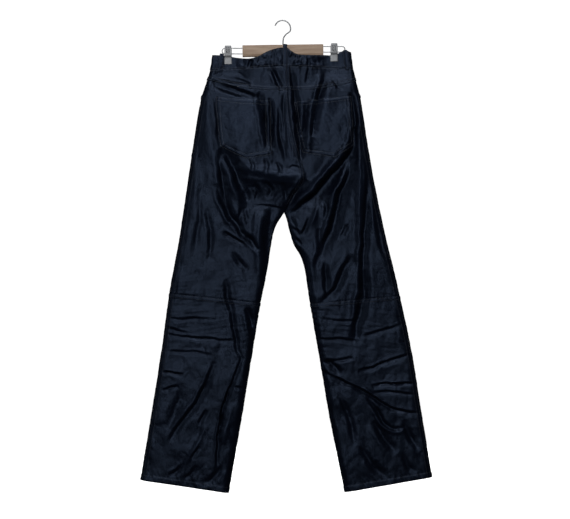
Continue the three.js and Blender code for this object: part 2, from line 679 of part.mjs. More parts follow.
function springRadius(clip) {
  return (clip.wireTop - clip.wireBottom) / 2 - WIRE_DIAMETER / 2 - SEAM_GAP;
}

function clipSpring(clip) {
  const radius = springRadius(clip);
  const geometry = new THREE.CylinderGeometry(radius, radius, CLIP_WIDTH - 2, 16);
  geometry.rotateZ(Math.PI / 2);
  return geometry.translate(clip.x, 0, (clip.wireTop + clip.wireBottom) / 2);
}

// A jaw is a bent plate: flat against the cloth below, and standing off round the spring above
function clipJaw(clip, face) {
  const nip = CLIP_NIP + SEAM_GAP / 2 + SEAM_GAP;
  const stand = springRadius(clip) + SEAM_GAP;
  const line = [
    { y: nip, z: clip.bottom },
    { y: nip, z: clip.bottom + JAW_BEND.from },
    { y: stand, z: clip.bottom + JAW_BEND.to },
    { y: stand, z: clip.top },
  ];
  const outward = line.map(({ y, z }) => new THREE.Vector2(face * (y + JAW_PLATE), z)).reverse();
  const shape = new THREE.Shape([...line.map(({ y, z }) => new THREE.Vector2(face * y, z)), ...outward]);
  return alongX(shape, CLIP_WIDTH).translate(clip.x, 0, 0);
}

const trousers = new THREE.Group();
trousers.name = 'leather_trousers_on_clip_hanger';

function add(name, geometry, look) {
  const mesh = new THREE.Mesh(geometry, new THREE.MeshStandardMaterial(look));
  mesh.name = name;
  trousers.add(mesh);
  return mesh;
}

add('waistband_back', backBand(), LEATHER);
for (const [word, side] of [['left', LEFT], ['right', RIGHT]]) {
  add(`waistband_front_${word}`, frontBand(side), LEATHER);
  add(`yoke_${word}`, yoke(side), LEATHER);
  add(`back_panel_${word}`, clothWall(BACK, backGrid(side)), LEATHER);
  add(`back_lower_leg_${word}`, lowerLeg(side, BACK), LEATHER);
  add(`front_panel_${word}`, clothWall(FRONT, frontGrid(side)), LEATHER);
  add(`front_lower_leg_${word}`, lowerLeg(side, FRONT), LEATHER);
  add(`pocket_facing_${word}`, pocketFacing(side), LEATHER);
  add(`back_pocket_${word}`, patchPocket(side), LEATHER);
}
add('fly_flap', flyFlap(), LEATHER);
add('waist_button', waistButton(), STEEL);
for (const loop of BELT_LOOPS) {
  add(loop.name, beltLoop(loop), LEATHER);
}

const bar = add('hanger_bar', hangerBar(), WOOD);
bar.position.set(BAR_CENTRE.x, 0, BAR_CENTRE.z);
bar.rotation.y = -BAR_TILT;
add('hanger_hook', hangerHook(), STEEL);
for (const clip of CLIPS) {
  add(`wire_loop_${clip.name}`, wireLoop(clip), STEEL);
  add(`clip_spring_${clip.name}`, clipSpring(clip), STEEL);
  add(`clip_jaw_back_${clip.name}`, clipJaw(clip, BACK), STEEL);
  add(`clip_jaw_front_${clip.name}`, clipJaw(clip, FRONT), STEEL);
}

export default trousers;
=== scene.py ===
import math
from collections import namedtuple

import bpy
import numpy as np
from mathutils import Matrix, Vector


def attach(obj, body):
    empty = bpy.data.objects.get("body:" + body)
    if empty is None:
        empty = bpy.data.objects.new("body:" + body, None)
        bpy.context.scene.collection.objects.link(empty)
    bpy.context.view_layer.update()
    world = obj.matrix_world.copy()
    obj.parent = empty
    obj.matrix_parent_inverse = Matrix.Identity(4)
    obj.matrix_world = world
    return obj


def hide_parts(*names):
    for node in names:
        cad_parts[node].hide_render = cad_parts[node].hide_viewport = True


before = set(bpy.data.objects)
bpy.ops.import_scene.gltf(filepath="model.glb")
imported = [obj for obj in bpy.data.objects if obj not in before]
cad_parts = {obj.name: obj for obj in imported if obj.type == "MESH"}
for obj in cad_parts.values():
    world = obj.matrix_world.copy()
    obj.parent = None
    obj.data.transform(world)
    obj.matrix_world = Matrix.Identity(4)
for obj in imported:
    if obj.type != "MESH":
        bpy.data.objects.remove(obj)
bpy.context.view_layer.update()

# Every length below is in millimetres, in the frame's axes: the seat side faces -Y, and the origin is the
# inner top of the hook. The meshes are made in metres.
MM = 0.001
BACK, FRONT = -1, 1
LEFT, RIGHT = -1, 1
SIDES = (("left", LEFT), ("right", RIGHT))

# The garment's form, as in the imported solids, apart from the back pockets' corners, moved by up to 12 mm.

WALL = 1.6
BAND_WALL = 2.6
PATCH_WALL = 1.4
SEAM_GAP = 0.3
MEET = -0.04
LAY_GAP = 0.35
LEAST_DEPTH = 4.2
EDGE_ROUNDING = 1.35
BAND_HEIGHT = 40
POCKET_MOUTH_DROP = 62
MOUTH_SHARE = 0.45
MOUTH_POWER = 2.2
CROTCH_DROP = 360
KNEE_DROP = 570
HEM_DROP = 1030
CLIP_WIDTH = 18
CLIP_NIP = 3.2


def table(columns, rows):
    """Rows of numbers under named columns, as arrays."""
    return dict(zip(columns.split(), np.array(rows, float).T))


SIDE_SEAM = {
    LEFT: table("drop x z", [
        (-40, -176, -85), (0, -181, -122), (75, -204, -198), (175, -221, -297), (275, -236, -397),
        (360, -247, -471), (440, -259, -549), (500, -270, -609), (570, -283, -680), (700, -301, -811),
        (850, -325, -964), (1030, -355, -1146)]),
    RIGHT: table("drop x z", [
        (-40, 172, -79), (0, 177, -119), (75, 195, -195), (175, 211, -296), (275, 228, -396),
        (360, 243, -470), (440, 260, -548), (500, 275, -608), (570, 293, -686), (700, 321, -815),
        (850, 345, -962), (1030, 374, -1139)]),
}
INSEAM = {
    LEFT: table("drop x z", [
        (360, 4, -480), (380, -9, -499), (405, -21, -524), (440, -28, -559), (500, -38, -624),
        (570, -54, -704), (700, -76, -838), (850, -102, -995), (1030, -134, -1179)]),
    RIGHT: table("drop x z", [
        (360, 4, -480), (380, 11, -499), (405, 17, -524), (440, 28, -559), (470, 45, -588),
        (500, 55, -620), (570, 68, -706), (700, 91, -838), (850, 117, -990), (1030, 155, -1177)]),
}
CENTRE_SEAM = {
    BACK: table("drop x z", [
        (-40, 14, -75), (0, 14, -113), (87, 14, -200), (150, 20, -262), (205, 31, -317),
        (245, 44, -357), (285, 47, -399), (325, 24, -440), (360, 4, -480)]),
    FRONT: table("drop x z", [
        (-40, 4, -108), (0, 4, -146), (120, 4, -258), (240, 4, -368), (360, 4, -480)]),
}
HALF_DEPTHS = table("drop depth", [
    (-40, 13), (0, 14), (75, 18), (175, 22), (275, 22), (360, 19), (440, 17), (570, 16), (850, 15),
    (1030, 14)])
BACK_BAND_TOP = table("x z", [
    (-176, -85), (-140, -87), (-115, -92), (-81, -94.5), (-57, -87.5), (-40, -78), (-14, -69.5),
    (12, -68), (22, -76), (39, -84.5), (104, -85.5), (130, -85), (154, -74), (172, -78)])

Clip = namedtuple("Clip", "name side x top bottom wire_top wire_bottom end")
CLIPS = [
    Clip("left", LEFT, -136, -57, -108, -68, -82, -151),
    Clip("right", RIGHT, 129, -51, -101, -63.5, -77.5, 156),
]

# Corners of the back patch pockets, from the side edge inwards
POCKETS = {
    LEFT: {
        "top": table("share drop", [(0.165, 69), (0.5, 78), (0.81, 84)]),
        "low": table("share drop", [(0.275, 195), (0.52, 230), (0.78, 221)]),
    },
    RIGHT: {
        "top": table("share drop", [(0.13, 68), (0.5, 78), (0.93, 89)]),
        "low": table("share drop", [(0.19, 191), (0.48, 227), (0.92, 219)]),
    },
}

Loop = namedtuple("Loop", "name face x below above foot")
BELT_LOOPS = [
    Loop("belt_loop_back_left", BACK, -152.8, 5, 4, 0.85),
    Loop("belt_loop_back_centre", BACK, 6.5, 2, 8, 0.1),
    Loop("belt_loop_back_right", BACK, 158.5, 3, 1, 0.3),
    Loop("belt_loop_front_left", FRONT, -88, 4, 1, 0.1),
    Loop("belt_loop_front_right", FRONT, 90, 4, 1, 0.1),
]
LOOP_WIDTH = 10.5

# Folds and creases

# Each runs along a path of (x, z) points. A negative depth is a ridge. Lean says which side of the trough
# has the higher lip, from -1, left of the way it runs, to 1, right.
Crease = namedtuple("Crease", "width depth lean path")
CREASE_ROWS = {
    BACK: [
        # left seat and thigh
        (4, 2.5, 0.3, [(-170, -193), (-162, -236), (-159, -283), (-153, -322)]),
        (8, 6, 0.4, [(-159, -322), (-152, -379), (-149, -415), (-136, -462), (-123, -501), (-113, -519)]),
        (7, 8, 0.4, [(-165, -408), (-152, -448), (-134, -484), (-113, -509), (-95, -537), (-75, -557)]),
        (13, 12, 0.7, [(-154, -315), (-134, -347), (-118, -379), (-106, -412), (-88, -451)]),
        (17, -2.5, 0, [(-190, -179), (-184, -229), (-180, -283), (-176, -336),
            (-168, -383), (-155, -423), (-138, -466)]),
        (12, 2, 0.3, [(-210, -236), (-210, -301), (-206, -379), (-192, -451)]),
        (6, -3, 0, [(-149, -333), (-132, -369), (-115, -408), (-102, -440)]),
        (5, 3, 0.3, [(-101, -466), (-106, -487), (-109, -505)]),
        (5, 3, -0.3, [(-96, -469), (-88, -498)]),
        (4, 5, -0.4, [(-149, -526), (-132, -538), (-113, -550), (-95, -559)]),
        (6, 5, 0.2, [(-93, -537), (-70, -559), (-48, -584)]),
        (6, 4, 0.2, [(-128, -577), (-109, -598), (-89, -627)]),
        (15, 13, 0.6, [(-27, -464), (-28, -487), (-34, -516), (-37, -552), (-35, -595), (-39, -649)]),
        (6, -3, 0, [(-64, -468), (-70, -505), (-72, -541)]),
        (6, 4, 0.3, [(-142, -645), (-136, -690), (-128, -724)]),
        (7, 2, 0.3, [(-205, -419), (-208, -500), (-222, -590)]),
        (6, 3, 0.4, [(-190, -470), (-178, -530), (-183, -600)]),
        # centre of the seat
        (7, 7, -0.8, [(-183, -148), (-138, -166), (-102, -178), (-61, -193)]),
        (4, 3, -0.5, [(-152, -127), (-112, -130), (-90, -143)]),
        (4, 3.5, -0.5, [(-149, -140), (-108, -149), (-78, -162)]),
        (5, 4, -0.6, [(-170, -160), (-132, -176), (-100, -186)]),
        (5, 4, -0.2, [(-41, -100), (-27, -121), (-9, -153), (0, -179)]),
        (4, 3, 0, [(-22, -112), (-18, -140), (-4, -172)]),
        (6, 8, 0.5, [(21, -112), (26, -161), (31, -207), (35, -250), (42, -308), (46, -347)]),
        (4, 2.5, 0.5, [(68, -112), (61, -143), (59, -161)]),
        (5, 3, 0.5, [(120, -140), (132, -160), (150, -172)]),
        (7, 10, 0.5, [(-61, -179), (-55, -207), (-48, -250), (-41, -293), (-36, -322)]),
        (6, 9, 0.5, [(-31, -193), (-28, -236), (-27, -279), (-28, -326)]),
        (6, 5, 0.3, [(-9, -214), (-4, -290), (10, -358)]),
        (3.5, 2.5, 0, [(1, -180), (4, -240), (9, -320)]),
        (5, 4, 0.3, [(35, -190), (36, -260), (44, -340)]),
        (7, 7, 0.5, [(61, -200), (55, -255), (49, -298), (44, -358)]),
        (8, 10, 0.6, [(108, -121), (101, -153), (93, -186), (85, -214), (79, -250), (72, -293)]),
        (6, -3, 0, [(70, -190), (68, -250), (62, -330)]),
        (14, -9, 0, [(-118, -363), (-61, -374), (-9, -385), (31, -389), (59, -391)]),
        (4, 3, 0, [(-80, -347), (-73, -363), (-76, -378)]),
        (4, 3, 0, [(-45, -344), (-38, -363), (-42, -383)]),
        (4, 3, 0.3, [(-12, -353), (-5, -370), (-9, -388)]),
        (3, 2.5, -0.8, [(15, -367), (27, -362), (43, -369)]),
        (4, 3, 0.5, [(-74, -410), (-61, -426), (-69, -448)]),
        (5, 3, -0.5, [(-48, -401), (-27, -421), (-37, -444)]),
        (5, -2, 0, [(-88, -408), (-82, -426), (-77, -444)]),
        (4, 3, 0.4, [(-5, -405), (6, -426), (9, -448)]),
        (3, 2.5, -0.5, [(-77, -461), (-41, -462), (-16, -466), (9, -476)]),
        (8, 9, 0.7, [(57, -396), (44, -415), (29, -437), (18, -462)]),
        # waistband
        (6, -4, 0, [(-131, -111), (-107, -112), (-84, -111)]),
        (5, -3, 0, [(-70, -112), (-55, -111), (-37, -110)]),
        (6, -4, 0, [(26, -111), (45, -111), (63, -110)]),
        (6, -4, 0, [(65, -112), (85, -112), (106, -111)]),
        (5, 4, 0.5, [(-81, -95), (-83, -107), (-85, -118)]),
        (5, 4, 0.5, [(64, -94), (66, -107), (64, -118)]),
        (5, -3, 0, [(146, -112), (156, -112), (169, -111)]),
        # right seat and thigh
        (6, 12, 0.3, [(171, -179), (177, -225), (179, -268), (174, -311)]),
        (15, 19, 0.9, [(182, -265), (179, -309), (160, -346), (126, -385),
            (90, -425), (60, -454), (31, -478), (11, -485)]),
        (9, -6, 0, [(131, -351), (119, -369), (94, -401), (61, -444), (49, -466)]),
        (12, 14, 0.8, [(178, -344), (162, -394), (143, -437), (136, -466),
            (125, -512), (107, -555), (97, -600)]),
        (8, -5, 0, [(189, -186), (190, -301), (192, -451), (191, -610)]),
        (3.5, -2, 0, [(203, -344), (204, -400), (203, -464)]),
        (8, 7, 0.5, [(212, -376), (206, -500), (201, -578), (202, -681), (192, -699), (182, -796)]),
        (8, 6, 0.5, [(175, -582), (153, -623), (131, -670), (111, -690), (89, -708)]),
        (7, 5, 0.4, [(91, -520), (91, -578), (80, -620)]),
        (6, 4, 0.3, [(106, -600), (108, -640), (111, -690)]),
        (5, 3, 0, [(143, -546), (154, -528), (165, -508)]),
        (5, 4, 0.4, [(104, -448), (110, -471), (109, -498)]),
        (5, 4, 0.4, [(68, -487), (59, -516), (49, -537)]),
        (5, -3, 0, [(88, -458), (77, -491), (63, -519)]),
        (4, 3, 0, [(19, -490), (36, -518)]),
        (4, 3, 0, [(22, -515), (46, -538)]),
        (4, 3, 0, [(27, -541), (51, -560)]),
        (6, 3, 0.4, [(230, -420), (238, -520), (258, -600)]),
        # left lower leg
        (3.5, 2, -0.5, [(-289, -742), (-237, -745), (-179, -744)]),
        (4, 3.5, -0.6, [(-291, -783), (-228, -791), (-140, -799), (-116, -804)]),
        (3.5, 2, -0.5, [(-289, -766), (-259, -774), (-235, -779)]),
        (4, 2, -0.5, [(-292, -826), (-230, -827), (-169, -836)]),
        (3.5, 5, -0.6, [(-297, -876), (-271, -879), (-246, -883)]),
        (3.5, 3, -0.4, [(-303, -922), (-284, -918), (-259, -910)]),
        (7, 6, 0.6, [(-168, -850), (-182, -887), (-199, -925), (-223, -965), (-247, -996), (-284, -1047)]),
        (4, 3, 0.4, [(-188, -969), (-199, -989), (-208, -1008)]),
        (4, 3, 0.4, [(-206, -1061), (-217, -1076), (-229, -1093)]),
        (7, -3, 0, [(-188, -1008), (-208, -1047), (-233, -1091), (-259, -1125)]),
        (4, 6, 0.6, [(-100, -838), (-122, -896), (-138, -935), (-152, -984), (-159, -1035), (-165, -1120)]),
        (8, -3, 0, [(-122, -955), (-138, -1008), (-146, -1057)]),
        (5, 4, 0.3, [(-134, -702), (-126, -731), (-120, -770), (-113, -818), (-96, -848)]),
        (8, 7, 0.5, [(-91, -716), (-81, -745), (-71, -782)]),
        (3.5, 2.5, -0.4, [(-121, -914), (-93, -918)]),
        (7, 3, 0, [(-150, -1110), (-174, -1142), (-203, -1152)]),
        (5, 3, 0.3, [(-246, -1104), (-266, -1126), (-285, -1134)]),
        (5, 2.5, 0.2, [(-212, -1110), (-228, -1132), (-246, -1142)]),
        (12, 4, 0.3, [(-250, -901), (-262, -959), (-288, -1020)]),
        # right lower leg
        (4, 3, -0.5, [(86, -797), (147, -795), (199, -801)]),
        (4, 3, -0.5, [(193, -789), (242, -776), (295, -759)]),
        (4, 5, -0.6, [(186, -877), (245, -857), (315, -832)]),
        (3, 2, -0.4, [(293, -799), (312, -807)]),
        (3.5, 6, -0.6, [(222, -910), (280, -906), (336, -904)]),
        (3.5, 3.5, -0.6, [(222, -926), (288, -928), (336, -933)]),
        (4.5, 8, -0.7, [(102, -876), (146, -897), (188, -917), (226, -939),
            (264, -963), (302, -975), (345, -981)]),
        (7, 6, -0.3, [(101, -850), (123, -857), (147, -882)]),
        (4, 4, 0.3, [(118, -851), (147, -848), (176, -842)]),
        (4, 5, 0.4, [(209, -938), (237, -979), (256, -1006), (280, -1020), (307, -1013)]),
        (6, -3, 0, [(222, -959), (246, -1006), (278, -1025), (305, -1023)]),
        (7, 4, 0.3, [(298, -998), (319, -1037), (342, -1074)]),
        (10, 5, 0.4, [(227, -998), (254, -1042), (285, -1081)]),
        (6, 3, 0.3, [(140, -930), (165, -985), (182, -1061)]),
        (8, 4, 0.2, [(195, -1062), (225, -1110), (261, -1139)]),
        (6, 3, 0.2, [(300, -1081), (312, -1110), (334, -1127)]),
        (3.5, 2, -0.4, [(84, -741), (149, -750), (205, -743)]),
        (11, 8, 0.4, [(201, -625), (204, -676), (195, -726), (183, -775), (178, -806)]),
    ],
    FRONT: [
        (15, 7, 0.4, [(-172, -255), (-118, -345), (-34, -432)]),
        (11, 5, 0.2, [(-206, -318), (-160, -420), (-72, -486)]),
        (13, 4, 0.5, [(-214, -400), (-186, -500), (-124, -566)]),
        (12, 6, -0.3, [(164, -228), (120, -330), (40, -420)]),
        (15, 7, -0.5, [(208, -300), (158, -408), (58, -474)]),
        (9, 4, -0.2, [(222, -420), (192, -510), (134, -560)]),
        (10, 4, 0.3, [(-228, -575), (-192, -648), (-134, -700)]),
        (12, 5, -0.3, [(238, -540), (200, -640), (132, -684)]),
        (8, 4, -0.5, [(-290, -772), (-200, -792), (-112, -796)]),
        (8, 4, 0.5, [(300, -764), (210, -796), (124, -812)]),
        (6, 3, -0.5, [(-280, -732), (-205, -746), (-138, -738)]),
        (6, 3, 0.5, [(286, -728), (216, -750), (146, -742)]),
        (12, 5, 0.4, [(-168, -856), (-216, -944), (-262, -1052)]),
        (10, 5, -0.4, [(196, -870), (244, -952), (284, -1062)]),
        (5, 4, -0.6, [(-304, -900), (-268, -908), (-238, -906)]),
        (5, 4, 0.6, [(330, -926), (292, -934), (262, -930)]),
        (8, 4, 0, [(-56, -196), (-68, -270), (-58, -330)]),
        (6, 3, 0, [(66, -210), (78, -280), (72, -352)]),
        (5, 3, 0, [(-92, -214), (-100, -262), (-96, -300)]),
        (7, 3, 0.2, [(-132, -990), (-150, -1044), (-152, -1104)]),
        (8, 4, 0.2, [(152, -1010), (184, -1056), (198, -1112)]),
    ],
}
CREASES = {face: [Crease(*row) for row in rows] for face, rows in CREASE_ROWS.items()}


def smooth_path(points, per_span=5):
    """More points on a smooth curve through the given ones."""
    points = np.array(points, float)
    key = np.arange(len(points), dtype=float)
    at = np.linspace(0, key[-1], per_span * (len(points) - 1) + 1)
    columns = [curve({"key": key, "value": points[:, n]}, "key", "value", at) for n in range(points.shape[1])]
    return np.stack(columns, axis=-1)


def curve(rows, key, column, at):
    """A smooth curve through a table's rows: the value of one column where the key column is at `at`."""
    keys, values = rows[key], rows[column]
    slopes = np.empty(len(keys))
    slopes[1:-1] = (values[2:] - values[:-2]) / (keys[2:] - keys[:-2])
    slopes[0] = (values[1] - values[0]) / (keys[1] - keys[0])
    slopes[-1] = (values[-1] - values[-2]) / (keys[-1] - keys[-2])
    at = np.asarray(at, float)
    i = np.clip(np.searchsorted(keys, at) - 1, 0, len(keys) - 2)
    span = keys[i + 1] - keys[i]
    t = np.clip((at - keys[i]) / span, 0, 1)
    bend = slopes[i] * span * t * (1 - t) ** 2 - slopes[i + 1] * span * t * t * (1 - t)
    return values[i] * (1 + 2 * t) * (1 - t) ** 2 + values[i + 1] * t * t * (3 - 2 * t) + bend


def mix(a, b, share):
    return a + (b - a) * share


def smooth(value):
    t = np.clip(value, 0, 1)
    return t * t * (3 - 2 * t)


def noise(x, z, seed):
    """Seeded gradient noise, about -0.7 to 0.7, one hill or hollow for each unit of x and z."""
    size = 128
    angles = np.random.default_rng(seed).uniform(0, 2 * math.pi, (size, size))
    cell_x, cell_z = np.floor(x).astype(int), np.floor(z).astype(int)
    part_x, part_z = x - cell_x, z - cell_z

    def corner(i, j):
        angle = angles[(cell_x + i) % size, (cell_z + j) % size]
        return np.cos(angle) * (part_x - i) + np.sin(angle) * (part_z - j)

    u, v = smooth(part_x), smooth(part_z)
    return mix(mix(corner(0, 0), corner(1, 0), u), mix(corner(0, 1), corner(1, 1), u), v)


def ridged(x, z, seed):
    """Noise with narrow creases between rounded hills, -1 in the creases and 0 on the hills."""
    return -np.exp(-(noise(x, z, seed) / 0.14) ** 2)


LIP_HEIGHT = 0.4
LIP_PLACE = 2.0
STEEPER = 0.45
CREASE_PATHS = {face: [smooth_path(crease.path) for crease in creases] for face, creases in CREASES.items()}


def creases(face, x, z):
    """How far the folds push the cloth in, at arrays of places."""
    shape = np.shape(x)
    x, z = np.ravel(x), np.ravel(z)
    wander_x = x + 4.0 * noise(x / 34, z / 34, 1) + 1.6 * noise(x / 11, z / 11, 2)
    wander_z = z + 4.0 * noise(x / 34, z / 34, 3) + 1.6 * noise(x / 11, z / 11, 4)
    total = np.zeros(len(x))
    for crease, path in zip(CREASES[face], CREASE_PATHS[face]):
        reach = 4.2 * crease.width
        near = (wander_x > path[:, 0].min() - reach) & (wander_x < path[:, 0].max() + reach)
        near &= (wander_z > path[:, 1].min() - reach) & (wander_z < path[:, 1].max() + reach)
        if not near.any():
            continue
        step = np.diff(path, axis=0)
        length = np.hypot(step[:, 0], step[:, 1])
        from_x = wander_x[near][:, None] - path[:-1, 0]
        from_z = wander_z[near][:, None] - path[:-1, 1]
        along = np.clip((from_x * step[:, 0] + from_z * step[:, 1]) / length ** 2, 0, 1)
        away = np.hypot(from_x - along * step[:, 0], from_z - along * step[:, 1])
        nearest = away.argmin(axis=1)
        pick = (np.arange(len(nearest)), nearest)
        run = np.concatenate([[0], np.cumsum(length)])
        share = (run[nearest] + along[pick] * length[nearest]) / run[-1]
        side = np.sign(from_x[pick] * step[nearest, 1] - from_z[pick] * step[nearest, 0])
        off = side * away[pick] / (crease.width * (1 - STEEPER * crease.lean * side))
        trough = np.exp(-np.abs(off) ** 1.7)
        lips = (1 + crease.lean) * np.exp(-(off - LIP_PLACE) ** 2)
        lips += (1 - crease.lean) * np.exp(-(off + LIP_PLACE) ** 2)
        if crease.depth < 0:
            lips = 0
        total[near] += crease.depth * np.sin(math.pi * share) ** 0.7 * (trough - LIP_HEIGHT / 2 * lips)
    return total.reshape(shape)


def edge_rise(share):
    """Quarter of an ellipse: 0 at a side edge, 1 from one rounding width inward."""
    return np.sqrt(1 - (1 - np.clip(share, 0, 1)) ** 2)


# Below the seat's fullest line the cloth falls back, until the thigh comes forward again
RECESS = {
    "depth": 8.0, "top": -397, "fall": 62, "foot": -457, "return": 45, "left": -112, "right": 44, "fade": 26,
}


def seat_recess(x, z):
    """How far the cloth under the seat falls back."""
    top = RECESS["top"] - 0.09 * (x + 60)
    foot = RECESS["foot"] - 0.13 * (x + 60)
    below = np.clip((top - z) / RECESS["fall"], 0, 1)
    down = below * (2 - below) * (1 - smooth((foot - z) / RECESS["return"]))
    across = smooth((x - RECESS["left"]) / RECESS["fade"]) * smooth((RECESS["right"] - x) / RECESS["fade"])
    return RECESS["depth"] * down * across


def clip_grip(x, z):
    """How much of the clips' grip reaches a place, 1 inside the jaws."""
    most = np.zeros(np.shape(x))
    for clip in CLIPS:
        across = (np.abs(x - clip.x) - CLIP_WIDTH / 2 - 1.5) / 60
        down = (clip.bottom - z) / 80
        most = np.maximum(most, (1 - smooth(across)) * (1 - smooth(down)))
    return most


def place(face, side, share, drop):
    """Where a share of the way in from the side edge lies at a drop: x, z and the panel's width there."""
    seam, centre, inseam = SIDE_SEAM[side], CENTRE_SEAM[face], INSEAM[side]
    outer_x, outer_z = (curve(seam, "drop", key, drop) for key in "xz")
    above = drop <= CROTCH_DROP
    inner_x, inner_z = (
        np.where(above, curve(centre, "drop", key, drop), curve(inseam, "drop", key, drop)) for key in "xz")
    inner_x = inner_x + np.where(drop > 0, side * SEAM_GAP / 2, 0)
    x, z = mix(outer_x, inner_x, share), mix(outer_z, inner_z, share)
    return x, z, np.hypot(outer_x - inner_x, outer_z - inner_z)


def lay(face, side, share, drop):
    """The folded garment's outer face before its fine relief: points, and what the folds did there."""
    share, drop = np.broadcast_arrays(np.asarray(share, float), np.asarray(drop, float))
    x, z, width = place(face, side, share, drop)
    if face == BACK:
        seam_z = place(face, side, share, np.zeros(np.shape(drop)))[1]
        z = np.where(drop < 0, mix(seam_z, curve(BACK_BAND_TOP, "x", "z", x), -drop / BAND_HEIGHT), z)
    plain = curve(HALF_DEPTHS, "drop", "depth", drop)
    rounding = plain * EDGE_ROUNDING
    closing = smooth((drop - CROTCH_DROP + 90) / 90)
    inner_rise = mix(1, edge_rise((1 - share) * width / rounding), closing)
    rise = edge_rise(share * width / rounding) * inner_rise
    sunk = creases(face, x, z) + (seat_recess(x, z) if face == BACK else 0)
    sway = 2.6 * noise(x / 70, z / 95, 5 + face) + 1.6 * noise(x / 30, z / 42, 8 + face)
    spare = plain - sunk + sway * smooth((drop + 10) / 60) - LEAST_DEPTH
    folded = LEAST_DEPTH + 2 * np.logaddexp(0, spare / 2)
    depth = mix(folded, CLIP_NIP, clip_grip(x, z))
    least = np.where((drop < CROTCH_DROP - 1) & (share > 0.5), CLIP_NIP, 0)
    y = face * (MEET + np.maximum(least, depth * rise))
    return np.stack([x, y, z], axis=-1), sunk


def outward(face, side, share, drop):
    """Normals of the folded garment, kept in a seam's own plane at the seams."""
    step, fall = 0.004, 1.0
    inner, outer = np.minimum(1, share + step), np.maximum(0, share - step)
    across = lay(face, side, inner, drop)[0] - lay(face, side, outer, drop)[0]
    down = lay(face, side, share, drop + fall)[0] - lay(face, side, share, drop - fall)[0]
    normal = np.cross(across, down) * (-side * face)
    normal[share >= 1, 0] = 0
    closed = (share >= 1) & (drop > CROTCH_DROP - 1)
    normal[closed] = (-side, 0, 0)
    normal[share <= 0] = (side, 0, 0)
    return normal / np.linalg.norm(normal, axis=-1, keepdims=True)


# Fine relief: grain-sized wrinkles, lapped seams, stitch channels and puckers

def wrinkles(face, side, x, z, drop):
    """Small uneven wrinkles of soft leather, more of them at the knees, the seat and the centre."""
    seed = 20 + 10 * (face + 1) + side
    patch = 0.55 + 0.9 * noise(x / 55, z / 48, seed + 1)
    crumple = 0.4 * ridged(x / 15, z / 19, seed + 2) + 0.2 * ridged(x / 8, z / 9, seed + 3)
    knee = smooth(1 - np.abs(drop - 610) / 190)
    knees = noise((x + 0.2 * z) / 40, (z + 0.12 * side * x) / 6.5, seed + 4) * knee * 0.75
    top = smooth(1 - np.abs(drop - 180) / 170) * smooth(1 - np.abs(x - 4) / 90)
    drapes = noise(x / 6.5, z / 70, seed + 5) * top * 0.8
    soft = 0.9 * noise(x / 22, z / 32, seed + 6)
    uneven = 0.35 * noise(x / 13, z / 18, seed + 7) + 0.3 * ridged(x / 26, z / 34, seed + 8)
    shin = smooth((drop - 560) / 80) * uneven
    return np.clip(patch, 0.1, 1.2) * crumple + knees + drapes + soft + shin


def lap(away, reach, height=0.9):
    """A raised strip of doubled leather along a seam, with a soft step down at its far edge."""
    return height * smooth((reach - away) / 2.6)


def channel(away, at, depth=0.34):
    """The groove that a row of stitches pulls in."""
    return -depth * np.exp(-((away - at) / 1.1) ** 2)


def pucker(along, away, seed, height=0.55, reach=11.0, pitch=7.5):
    """Small cross wrinkles that a row of stitches gathers."""
    return height * noise(along / pitch, away / 30, seed) * np.exp(-away / reach) * 2


def rounded(away, width=2.0, depth=0.55):
    """A cut or folded edge turns in a little."""
    return -depth * np.clip(1 - away / width, 0, 1) ** 2


def yoke_drop(side, share):
    return mix(26 if side == LEFT else 32, 61, np.sin(math.pi / 2 * share))


def mouth_drop(share):
    inside = np.clip(1 - (np.clip(share, 0, MOUTH_SHARE) / MOUTH_SHARE) ** MOUTH_POWER, 0, 1)
    return POCKET_MOUTH_DROP * inside ** (1 / MOUTH_POWER)


OUTSEAM_ROWS = (5.5, 12.5)
CENTRE_ROW = 3.8
SEAM_ROWS = (2.4, 8.2)
HEM_ROW = 13.5


def seams(face, side, share, drop, x, z, width):
    """Relief along the seams that every leg panel shares."""
    outer, inner = share * width, (1 - share) * width
    above = drop < CROTCH_DROP
    out = lap(outer, 15.5, 0.8) + sum(channel(outer, row) for row in OUTSEAM_ROWS) + rounded(outer)
    out = out + pucker(drop, outer, 40 + face * side, 0.35, 14)
    strip = lap(inner, 6.0, 1.0) + channel(inner, CENTRE_ROW) + pucker(drop, inner, 44, 0.3)
    leg = lap(inner, 7.0, 0.5) + channel(inner, 5.5) + pucker(drop, inner, 45, 0.4)
    notch = 1.8 * np.exp(-((drop - 68) / 5) ** 2) * np.exp(-outer / 8)
    return out + np.where(above, strip, leg) + rounded(inner) + notch


def panel_relief(face, side, share, drop, x, z, width):
    fall = drop - (yoke_drop(side, share) if face == BACK else mouth_drop(share))
    relief = seams(face, side, share, drop, x, z, width) + wrinkles(face, side, x, z, drop)
    relief = relief + rounded(fall) + rounded(KNEE_DROP - drop) + pucker(x, fall, 50 + face)
    relief = relief + pucker(x, KNEE_DROP - drop, 51)
    if face == FRONT:
        relief = relief + lap(fall, 10.5, 0.8) + sum(channel(fall, row) for row in SEAM_ROWS)
    return relief


def yoke_relief(face, side, share, drop, x, z, width):
    rise = yoke_drop(side, share) - drop
    relief = seams(face, side, share, drop, x, z, width) + wrinkles(face, side, x, z, drop) * 1.3
    relief = relief + lap(rise, 10.5) + sum(channel(rise, row) for row in SEAM_ROWS) + rounded(rise)
    return relief + pucker(x, rise, 52, 0.7) + rounded(drop) + pucker(x, drop, 53, 0.7)


